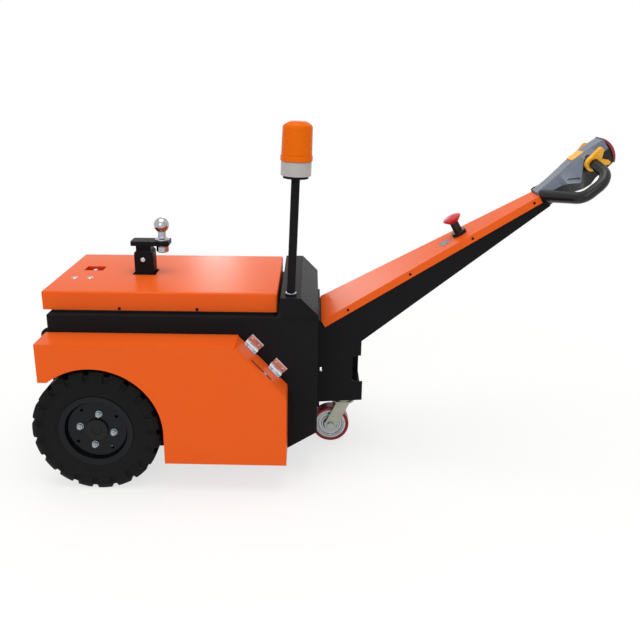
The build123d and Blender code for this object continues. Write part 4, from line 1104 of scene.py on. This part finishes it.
@dataclass
class Beacon:
    """The flashing beacon on its pole."""

    datum: Datum
    pole_edge: float = 0.001
    base_edge: float = 0.0015
    lean: float = 2.0
    pole_foot: tuple[float, float, float] = (0.600, -0.231, 0.609)
    ring_bore: float = 0.0132
    ring_radius: float = 0.0175
    ring_floor: float = 0.0045
    ring_shoulder: float = 0.0075
    ring_top: float = 0.0095
    ring_round: float = 0.0005
    lens_floor: float = 0.409
    lens_radius: float = 0.0455
    lens_top: float = 0.0440
    lens_height: float = 0.113
    crown_height: float = 0.017
    crown_radius: float = 0.0255
    crown_fall: float = 0.0125
    crown_rise: float = 0.001
    crown_rounds: tuple[float, float] = (0.012, 0.024)
    rim_width: float = 0.002
    rim_height: float = 0.016
    rim_rounds: tuple[float, float] = (0.0006, 0.0015)
    rib_count: int = 6
    steps_per_rib: int = 20
    rib_depth: float = 0.0004
    rib_power: int = 9

    def build(self) -> None:
        """Dresses pole and base, and builds the ribbed lens and the pole's foot ring."""
        carry("beacon_pole", PALETTE.black, self.pole_edge)
        carry("beacon_base", PALETTE.white, self.base_edge)
        foot = Matrix.Translation(self.datum.at(*self.pole_foot))
        lens = self._lens().moved(foot @ Matrix.Rotation(math.radians(self.lean), 4, "Y"))
        add_piece("beacon_lens_ribbed", lens, "root", PALETTE.lens, ("beacon_lens",), crease=50.0)
        ring = rounded(
            [
                (self.ring_bore, self.ring_floor), (self.ring_radius, self.ring_floor),
                (self.ring_radius, self.ring_shoulder), (self.ring_bore, self.ring_top),
            ],
            [self.ring_round] * 4, steps=3, closed=True,
        )
        add_piece("pole_foot_ring", turned(ring, sides=48, closed=True).moved(foot), "root", PALETTE.chrome)

    def _lens(self) -> Shape:
        """Turns the lens: a collar, a barrel that tapers a little, and a crown with a sloped shoulder.

        The barrel's radius falls evenly with height and is lowered in the grooves between its bands: the
        groove's depth times a high power of the absolute cosine of the height, so that each band is nearly
        straight.

        Returns:
            The lens, standing on the pole's foot.
        """
        share = np.linspace(0, 1, self.rib_count * self.steps_per_rib + 1)
        height = self.rim_height + share * (self.lens_height - self.rim_height - self.crown_height)
        groove = self.rib_depth * np.abs(np.cos(np.pi * self.rib_count * share)) ** self.rib_power
        radius = self.lens_radius + (self.lens_top - self.lens_radius) * share - groove
        barrel = np.stack([radius, height + self.lens_floor], axis=-1)
        floor, top = self.lens_floor, self.lens_floor + self.lens_height
        edge = self.lens_radius + self.rim_width
        shoulder, crest = top - self.crown_fall, top - self.crown_rise
        crown = rounded(
            [barrel[-1], (barrel[-1][0], shoulder), (self.crown_radius, crest), (0, top)],
            [0, *self.crown_rounds, 0], steps=10,
        )[1:]
        rim = rounded(
            [(0, floor), (edge, floor), (edge, floor + self.rim_height), barrel[0]],
            [0, *self.rim_rounds, 0], steps=4,
        )[:-1]
        return turned(np.vstack([rim, barrel, crown]), sides=96)


@dataclass(frozen=True)
class SlotPart:
    """A small plate in a lid's slot: its outline, and its place along and out of the slope."""

    name: str
    size: tuple[float, float]
    corner: float
    along: float
    level: float
    finish: Finish


@dataclass
class Locker:
    """One side's fender with its locker lid, hinges and slot."""

    datum: Datum
    side: Side
    fender_edge: float = 0.0018
    lid_edge: float = 0.0012
    leaf_edge: float = 0.0004
    slope_start: tuple[float, float] = (0.440, 0.490)
    slope_run: float = 0.152
    slope_rise: float = -0.161
    hinge_shares: tuple[float, ...] = (0.24, 0.72)
    wall: float = 0.2725
    leaf_middle: float = 0.0225
    leaf_reach: float = 0.019
    leaf_lift: float = 0.0025
    screw_scale: float = 0.72
    screw_shift: float = 0.015
    slot_across: float = 0.356
    slot_levels: tuple[float, ...] = (0.0, 0.0004, 0.0013, 0.0016)
    slot_edge: float = 0.0004
    slot_parts: tuple[SlotPart, ...] = (
        # The insert is a near-black plate of painted shade for the slot's depth.
        SlotPart("slot_insert", (0.0872, 0.0102), 0.005, 0.0, -0.0024, PALETTE.dark),
        SlotPart("slot_latch", (0.013, 0.0085), 0.002, 0.016, -0.0012, PALETTE.bright),
    )

    def build(self) -> None:
        """Dresses fender, lid and hinge leaves, and adds the screws and the latch in the slot."""
        label = self.side.label
        carry(f"fender_{label}", PALETTE.orange, self.fender_edge, crease=25.0)
        carry(f"locker_lid_{label}", PALETTE.orange, self.lid_edge, crease=25.0)
        carry(f"hinge_lid_leaves_{label}", PALETTE.leaf, self.leaf_edge)
        self._lid_screws()
        self._latch()

    def _face(self) -> SlopedFace:
        """The lid's outer plane."""
        x, z = self.slope_start
        return SlopedFace(self.datum.at(x, 0, z), self.slope_run, self.slope_rise)

    def _lid_screws(self) -> None:
        """Sets two screws in each lid leaf, and two in each wall leaf above it."""
        face, sign, label = self._face(), self.side.value, self.side.label
        head = FASTENERS.button(self.screw_scale)
        distances = [
            share * face.span + shift
            for share in self.hinge_shares
            for shift in (-self.screw_shift, self.screw_shift)
        ]
        inner, outer = sign * self.wall, sign * (self.wall + self.leaf_reach)
        sideways = Vector((0, sign, 0))
        lid = [standing(face.point(distance, outer, self.leaf_lift), face.out) for distance in distances]
        wall = [standing(face.point(distance, inner, self.leaf_middle), sideways) for distance in distances]
        add_piece(f"lid_leaf_screws_{label}", head.copies(lid), f"lid_{label}", PALETTE.bolt)
        add_piece(f"wall_leaf_screws_{label}", head.copies(wall), "root", PALETTE.bolt)

    def _latch(self) -> None:
        """Sets a near-black insert in the lid's slot as painted shade of its depth, with a short bright catch
        on it.
        """
        face, label = self._face(), self.side.label
        edge, across = self.slot_edge, self.side.value * self.slot_across
        for part in self.slot_parts:
            outlines = [rounded_outline(*part.size, part.corner, inset) for inset in (edge, 0, 0, edge)]
            place = standing(face.point(face.span / 2 + part.along, across, part.level), face.out, face.along)
            shape = plated(outlines, self.slot_levels).moved(place)
            add_piece(f"{part.name}_{label}", shape, f"lid_{label}", part.finish)


@dataclass
class DriveWheel:
    """One drive wheel: a lugged tyre, a pressed rim, its hub and its nuts.

    The half section's points are places along the axle and radii, from the inner bead out to the tread.
    """

    side: Side
    half_section: tuple[tuple[float, float], ...] = (
        (0.037, 0.1035), (0.0462, 0.132), (0.0462, 0.166), (0.0488, 0.1695), (0.0488, 0.184), (0.041, 0.200),
    )
    section_rounds: tuple[float, ...] = (0.002, 0.02, 0.002, 0.0015, 0.004, 0.005)
    section_step: float = 0.0032
    shoulder: float = 0.041
    lug_count: int = 19
    steps_per_lug: int = 28
    groove_share: float = 0.27
    groove_waist_share: float = 0.55
    groove_wall_share: float = 0.045
    groove_floor: float = 0.1885
    groove_plane: float = 0.0425
    groove_start: float = 0.010
    start_blend: float = 0.004
    groove_root: float = 0.160
    root_blend: float = 0.006
    groove_lean: float = 2.2
    lean_middle: float = 0.04
    rim_edge: float = 0.001
    nut_across: float = 0.017
    nut_height: float = 0.010
    nut_washer: float = 0.0112
    nut_count: int = 4
    nut_circle: float = 0.053
    nut_turn: float = 10.0
    stud_radius: float = 0.005
    stud_height: float = 0.0165
    stud_round: float = 0.001
    disc_setback: float = 0.023
    end_radius: float = 0.0161
    end_depth: float = 0.0205
    end_sink: float = 0.0012

    def build(self) -> None:
        """Builds the tyre, the nuts and the spindle's end, and dresses rim and hub."""
        label, body = self.side.label, f"drive_wheel_{self.side.label}"
        low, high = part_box(f"tyre_{label}")
        middle = (low + high) / 2
        tyre = self._tyre().moved(Matrix.Translation(middle) @ Matrix.Rotation(math.radians(-90), 4, "X"))
        add_piece(f"tyre_lugged_{label}", tyre, body, PALETTE.rubber, (f"tyre_{label}",), crease=40.0)
        carry(f"rim_{label}", PALETTE.rim, self.rim_edge, crease=30.0)
        carry(f"hub_{label}", PALETTE.iron, self.rim_edge)
        self._nuts(middle, high.y - middle.y)
        self._spindle_end(middle)

    def _spindle_end(self, middle: Vector) -> None:
        """Fills the hub's bore with the spindle's turned end, which has a small centre hole.

        Args:
            middle: The wheel's middle.
        """
        label, radius = self.side.label, self.end_radius
        low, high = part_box(f"hub_{label}")
        face = (high.y - middle.y) if self.side is Side.LEFT else (middle.y - low.y)
        level, hole = face - self.end_sink, radius / 7
        back = level - self.end_depth
        profile = rounded(
            [(0, back), (radius, back), (radius, level), (hole, level), (0, level - hole)],
            [0, 0, radius / 8, hole / 4, 0], steps=4,
        )
        end = turned(profile, sides=40).moved(standing(middle, Vector((0, self.side.value, 0))))
        add_piece(f"spindle_end_{label}", end, f"drive_wheel_{label}", PALETTE.iron)

    def _tyre(self) -> Shape:
        """Turns a rounded section round the axle and sinks the grooves between the lugs.

        Across and out are a section point's place along the axle and its radius. A groove's mask is one where
        the angle lies within half a groove of the groove's centre line and the point lies outside the tread's
        middle, with smooth edges. The centre line leans with the distance across, and the grooves of the two
        shoulders are half a pitch apart. A point moves by its mask towards the groove's floor: its radius
        down to the floor's, and its distance across down to the groove's own plane.

        Returns:
            The tyre, with the axle along Z.
        """
        corners = [*self.half_section, *((-across, out) for across, out in reversed(self.half_section))]
        rounds = [*self.section_rounds, *reversed(self.section_rounds)]
        section = densified(rounded(corners, rounds, steps=4, closed=True), self.section_step)
        across, out = section[:, :1], section[:, 1:]
        reach = np.abs(across)
        count = self.lug_count * self.steps_per_lug
        angle = np.linspace(0, 2 * np.pi, count, endpoint=False)[None, :]
        shift = np.where(across > 0, 0.0, 0.5)
        pitch = angle / (2 * np.pi) * self.lug_count + shift + self.groove_lean * (reach - self.lean_middle)
        distance = np.abs(np.mod(pitch, 1.0) - 0.5)
        flare = self.groove_waist_share + (1 - self.groove_waist_share) * reach / self.shoulder
        half_groove = self.groove_share / 2 * np.clip(flare, 0, 1)
        mask = smooth_step((half_groove - distance) / self.groove_wall_share + 0.5)
        mask = mask * smooth_step((reach - self.groove_start) / self.start_blend)
        mask = mask * smooth_step((out - self.groove_root) / self.root_blend)
        sunk_out = np.minimum(out, self.groove_floor)
        sunk_across = np.sign(across) * np.minimum(reach, self.groove_plane)
        radius = out + (sunk_out - out) * mask
        level = across + (sunk_across - across) * mask
        return skin(np.stack([radius * np.cos(angle), radius * np.sin(angle), level], axis=-1), closed=True)

    def _nuts(self, middle: Vector, half_width: float) -> None:
        """Sets the nuts with washers and stud ends on the disc.

        Args:
            middle: The wheel's middle.
            half_width: Half the tyre's width.
        """
        sign, label = self.side.value, self.side.label
        level = sign * (half_width - self.disc_setback)
        radius, height = self.stud_radius, self.stud_height
        stud = rounded([(0, 0), (radius, 0), (radius, height), (0, height)], [0, 0, self.stud_round, 0])
        nut = FASTENERS.hexagon_head(self.nut_across, self.nut_height, self.nut_washer)
        places = []
        for step in range(self.nut_count):
            angle = math.radians(self.nut_turn + step * 360 / self.nut_count)
            shift = Vector((math.cos(angle), 0, -math.sin(angle))) * self.nut_circle
            places.append(standing(middle + shift + Vector((0, level, 0)), Vector((0, sign, 0))))
        nuts = Shape.joined([nut, turned(stud, sides=20)]).copies(places)
        add_piece(f"wheel_nuts_{label}", nuts, f"drive_wheel_{label}", PALETTE.bolt, crease=25.0)


@dataclass
class Tiller:
    """The tapered tiller: flange, frame, cover and emergency stop."""

    datum: Datum
    flange_edge: float = 0.0012
    frame_edge: float = 0.0016
    cover_edge: float = 0.0022
    stop_edge: float = 0.001
    cover_start: tuple[float, float] = (0.696, 0.493)
    cover_run: float = 0.687
    cover_rise: float = 0.397
    low_half: float = 0.140
    high_half: float = 0.045
    lip: float = 0.025
    screw_shares: tuple[float, ...] = (0.117, 0.405, 0.691, 0.97)
    screw_scale: float = 0.85
    bolt_across: float = 0.013
    bolt_height: float = 0.007
    bolt_inset: float = 0.018
    bolt_share: float = 0.42
    tag_share: float = 0.588
    tag_across: float = -0.012
    tag_size: tuple[float, float] = (0.030, 0.038)
    tag_corner: float = 0.003
    tag_levels: tuple[float, ...] = (-0.0002, 0.0006, 0.0009)
    tag_edge: float = 0.0003

    def build(self) -> None:
        """Dresses the solids and adds screws, bolts and the blank tag."""
        carry("tiller_flange", PALETTE.black, self.flange_edge)
        carry("tiller_frame", PALETTE.black, self.frame_edge)
        carry("tiller_cover", PALETTE.orange, self.cover_edge, crease=25.0)
        self._lip_screws()
        self._flange_bolts()
        carry("stop_body", PALETTE.grip, self.stop_edge)
        carry("stop_knob", PALETTE.red)
        self._tag()

    def _face(self) -> SlopedFace:
        """The cover's outer plane."""
        x, z = self.cover_start
        return SlopedFace(self.datum.at(x, 0, z), self.cover_run, self.cover_rise)

    def _half(self, share: float) -> float:
        """Half the cover's width at a share of its length."""
        return self.low_half + (self.high_half - self.low_half) * share

    def _lip_screws(self) -> None:
        """Sets button screws along both folded lips, near-black as painted shade."""
        face = self._face()
        head = FASTENERS.button(self.screw_scale)
        slant = math.atan2(self.low_half - self.high_half, face.span)
        places = []
        for side in Side:
            out = Vector((0, side.value, 0)) * math.cos(slant) + face.along * math.sin(slant)
            for share in self.screw_shares:
                point = face.point(share * face.span, side.value * self._half(share), -self.lip / 2)
                places.append(standing(point, out))
        add_piece("lip_screws", head.copies(places), "root", PALETTE.dark)

    def _flange_bolts(self) -> None:
        """Bolts the flange to the body beside the frame, with one bolt on each side."""
        low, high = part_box("tiller_flange")
        head = FASTENERS.hexagon_head(self.bolt_across, self.bolt_height)
        y = (high.y - low.y) / 2 - self.bolt_inset
        level = low.z + (high.z - low.z) * self.bolt_share
        places = [standing(Vector((high.x, side.value * y, level)), Vector((1, 0, 0))) for side in Side]
        add_piece("flange_bolts", head.copies(places), "root", PALETTE.bright)

    def _tag(self) -> None:
        """Lays a small blank plate on the cover below the stop."""
        face, insets = self._face(), (0, 0, self.tag_edge)
        outlines = [rounded_outline(*self.tag_size, self.tag_corner, inset) for inset in insets]
        place = standing(face.point(self.tag_share * face.span, self.tag_across), face.out, face.along)
        add_piece("blank_tag", plated(outlines, self.tag_levels).moved(place), "root", PALETTE.grey)


@dataclass
class ControlHead:
    """The tiller's head: moulded shell, grips, throttles, horn and belly button."""

    shell_edge: float = 0.0025
    throttle_edge: float = 0.002
    horn_edge: float = 0.0015
    belly_edge: float = 0.002

    def build(self) -> None:
        """Dresses the head's solids."""
        carry("head_shell", PALETTE.grey, self.shell_edge, crease=20.0)
        carry("grip_loops", PALETTE.grip, crease=60.0)
        carry("throttles", PALETTE.yellow, self.throttle_edge)
        carry("horn_button", PALETTE.yellow, self.horn_edge)
        carry("belly_button", PALETTE.bumper, self.belly_edge)


@dataclass
class Castor:
    """The swivel castor under the tiller's box.

    A cover step is the share of the way in from the cover's edge to its hole, and whether it stands forward
    there.
    """

    plate_edge: float = 0.001
    fork_edge: float = 0.0012
    tread_edge: float = 0.004
    cover_edge: float = 0.0472
    cover_hole: float = 0.0168
    cover_face: float = 0.0195
    trough_depth: float = 0.0045
    cover_depth: float = 0.0072
    cover_steps: tuple[tuple[float, bool], ...] = (
        (0.14, True), (0.22, False), (0.46, False), (0.54, True), (0.70, True), (0.78, False),
    )
    rim_round: float = 0.0012
    step_round: float = 0.0015

    def build(self) -> None:
        """Dresses the solids and adds the pressed covers beside the core's web."""
        carry("castor_plate", PALETTE.zinc, self.plate_edge)
        carry("castor_fork", PALETTE.zinc, self.fork_edge)
        carry("castor_axle", PALETTE.bolt, self.plate_edge)
        self._covers()
        carry("castor_core", PALETTE.nylon, self.fork_edge)
        carry("castor_tread", PALETTE.urethane, self.tread_edge)

    def _covers(self) -> None:
        """Turns a pressed steel cover for each side of the core, with two raised rings and a trough."""
        low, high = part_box("castor_core")
        edge, hole, front = self.cover_edge, self.cover_hole, self.cover_face
        trough, back = front - self.trough_depth, front - self.cover_depth
        steps = [
            (edge - share * (edge - hole), front if forward else trough)
            for share, forward in self.cover_steps
        ]
        profile = rounded(
            [(hole, back), (edge, back), (edge, front), *steps, (hole, trough)],
            [0, 0, self.rim_round, *[self.step_round] * len(steps), 0], steps=5, closed=True,
        )
        middle = (low + high) / 2
        places = [standing(middle, Vector((0, side.value, 0))) for side in Side]
        covers = turned(profile, sides=64, closed=True).copies(places)
        add_piece("castor_covers", covers, "castor_wheel", PALETTE.chrome)


@dataclass
class Studio:
    """The pale floor, the soft light and the camera. A lamp's row is its name, place, size and power."""

    datum: Datum
    camera_place: tuple[float, float, float] = (0.6594, -2.4161, 1.2757)
    yaw: float = 1.7
    pitch: float = -18.1
    roll: float = -0.2
    focal_pixels: float = 741.2
    centre_pixels: tuple[float, float] = (289.1, 309.5)
    sensor: float = 36.0
    floor_reach: float = 40.0
    floor_colour: str = "F6F6F4"
    floor_roughness: float = 0.9
    floor_specular: float = 0.1
    floor_fade: tuple[float, float] = (0.9, 2.3)
    floor_white: float = 0.7
    world_tint: tuple[float, float, float, float] = (1.0, 0.99, 0.97, 1.0)
    world_level: float = 0.62
    lamp_target: tuple[float, float, float] = (0.5, 0.0, 0.4)
    lamps: tuple[tuple[str, tuple[float, float, float], tuple[float, float], float], ...] = (
        ("top_lamp", (0.4, -0.6, 7.5), (6.0, 6.0), 310.0),
        ("front_lamp", (-0.6, -6.5, 3.0), (4.0, 4.0), 92.0),
        ("streak_lamp", (-0.25, 5.0, 2.1), (0.4, 2.4), 12.0),
    )

    def build(self) -> None:
        """Sets the view transform and makes floor, world, lamps and camera."""
        bpy.context.scene.view_settings.view_transform = "Standard"
        self._floor()
        self._world()
        self._lamps()
        self._camera()

    def _floor(self) -> None:
        """Lays a large pale plane whose material fades to white with the distance from the machine."""
        reach = self.floor_reach
        mesh = bpy.data.meshes.new("studio_floor")
        corners = [(-reach, -reach, 0), (reach, -reach, 0), (reach, reach, 0), (-reach, reach, 0)]
        mesh.from_pydata(corners, [], [(0, 1, 2, 3)])
        floor = bpy.data.objects.new("studio_floor", mesh)
        bpy.context.scene.collection.objects.link(floor)
        made = bpy.data.materials.new("pale_floor")
        made.use_nodes = True
        wiring, shader = Wiring(made.node_tree), made.node_tree.nodes["Principled BSDF"]
        wiring.fill(shader, {
            "Base Color": linear(self.floor_colour), "Roughness": self.floor_roughness,
            "Specular IOR Level": self.floor_specular,
        })
        length = wiring.add("VectorMath", {0: wiring.place()}, operation="LENGTH").outputs["Value"]
        near, far = self.floor_fade
        fade = wiring.add(
            "MapRange",
            {"Value": length, "From Min": near, "From Max": far, "To Min": self.floor_white, "To Max": 1.0},
            interpolation_type="SMOOTHSTEP",
        )
        seen = wiring.math("MULTIPLY", fade.outputs["Result"], self._seen_directly(wiring))
        glow = wiring.add("Emission", {"Color": (1, 1, 1, 1)})
        self._mix(wiring, seen, shader.outputs["BSDF"], glow.outputs["Emission"], "Material Output")
        mesh.materials.append(made)

    def _world(self) -> None:
        """Surrounds the machine with an even pale light, white where the camera, metal or glass sees it."""
        world = bpy.data.worlds.new("studio_world")
        world.use_nodes = True
        bpy.context.scene.world = world
        wiring, shown = Wiring(world.node_tree), world.node_tree.nodes["Background"]
        wiring.fill(shown, {"Color": (1, 1, 1, 1), "Strength": 1.0})
        lit = wiring.add("Background", {"Color": self.world_tint, "Strength": self.world_level})
        seen = self._seen_directly(wiring)
        self._mix(wiring, seen, lit.outputs["Background"], shown.outputs["Background"], "World Output")

    @staticmethod
    def _seen_directly(wiring: Wiring) -> bpy.types.NodeSocket:
        """Marks with a one what the camera, a gloss or clear glass looks at: the largest of three marks.

        Args:
            wiring: The tree of the material or world.

        Returns:
            The mark.
        """
        rays = wiring.add("LightPath", {}).outputs
        two = wiring.math("MAXIMUM", rays["Is Camera Ray"], rays["Is Glossy Ray"])
        return wiring.math("MAXIMUM", two, rays["Is Transmission Ray"])

    @staticmethod
    def _mix(
        wiring: Wiring, factor: bpy.types.NodeSocket, plain: bpy.types.NodeSocket,
        white: bpy.types.NodeSocket, output: str,
    ) -> None:
        """Sends a mix of two shaders to an output.

        Args:
            wiring: The tree of the material or world.
            factor: How much of the white shader there is.
            plain: The shader at a factor of zero.
            white: The shader at a factor of one.
            output: The output node's name.
        """
        mix = wiring.add("MixShader", {"Fac": factor, 1: plain, 2: white})
        wiring.fill(wiring.tree.nodes[output], {"Surface": mix.outputs["Shader"]})

    def _lamps(self) -> None:
        """Hangs the flat lamps and aims them at the machine's middle."""
        target = self.datum.at(*self.lamp_target)
        for name, place, size, power in self.lamps:
            data = bpy.data.lights.new(name, "AREA")
            data.shape = "RECTANGLE"
            data.size, data.size_y = size
            data.energy = power
            lamp = bpy.data.objects.new(name, data)
            lamp.location = self.datum.at(*place)
            lamp.rotation_euler = (target - lamp.location).to_track_quat("-Z", "Y").to_euler()
            bpy.context.scene.collection.objects.link(lamp)

    def _camera(self) -> None:
        """Stands the camera where the fit to the photograph's outlines puts it."""
        data = bpy.data.cameras.new("camera")
        data.sensor_width = self.sensor
        data.lens = self.focal_pixels / IMAGE_PIXELS * self.sensor
        middle = IMAGE_PIXELS / 2
        data.shift_x = (middle - self.centre_pixels[0]) / IMAGE_PIXELS
        data.shift_y = (self.centre_pixels[1] - middle) / IMAGE_PIXELS
        camera = bpy.data.objects.new("camera", data)
        turn = (
            Matrix.Rotation(math.radians(self.yaw), 3, "Z")
            @ Matrix.Rotation(math.radians(self.pitch), 3, "X")
            @ Matrix.Rotation(math.radians(self.roll), 3, "Y")
        )
        upright = Matrix(((1, 0, 0), (0, 0, -1), (0, 1, 0)))
        place = Matrix.Translation(self.datum.at(*self.camera_place))
        camera.matrix_world = place @ (turn @ upright).to_4x4()
        bpy.context.scene.collection.objects.link(camera)
        bpy.context.scene.camera = camera


def main() -> None:
    """Builds the studio and every sub-assembly."""
    logging.basicConfig(level=logging.INFO, format="%(message)s")
    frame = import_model()
    FRAME_NODES.update(frame["nodes"])
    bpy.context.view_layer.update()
    datum = Datum.read()
    Studio(datum).build()
    Body().build()
    Hood(datum).build()
    Hitch().build()
    Beacon(datum).build()
    Tiller(datum).build()
    ControlHead().build()
    Castor().build()
    for side in Side:
        Locker(datum, side).build()
        DriveWheel(side).build()
    carry("hinge_wall_leaves", PALETTE.leaf, Locker.leaf_edge)


if __name__ == "__main__":
    main()
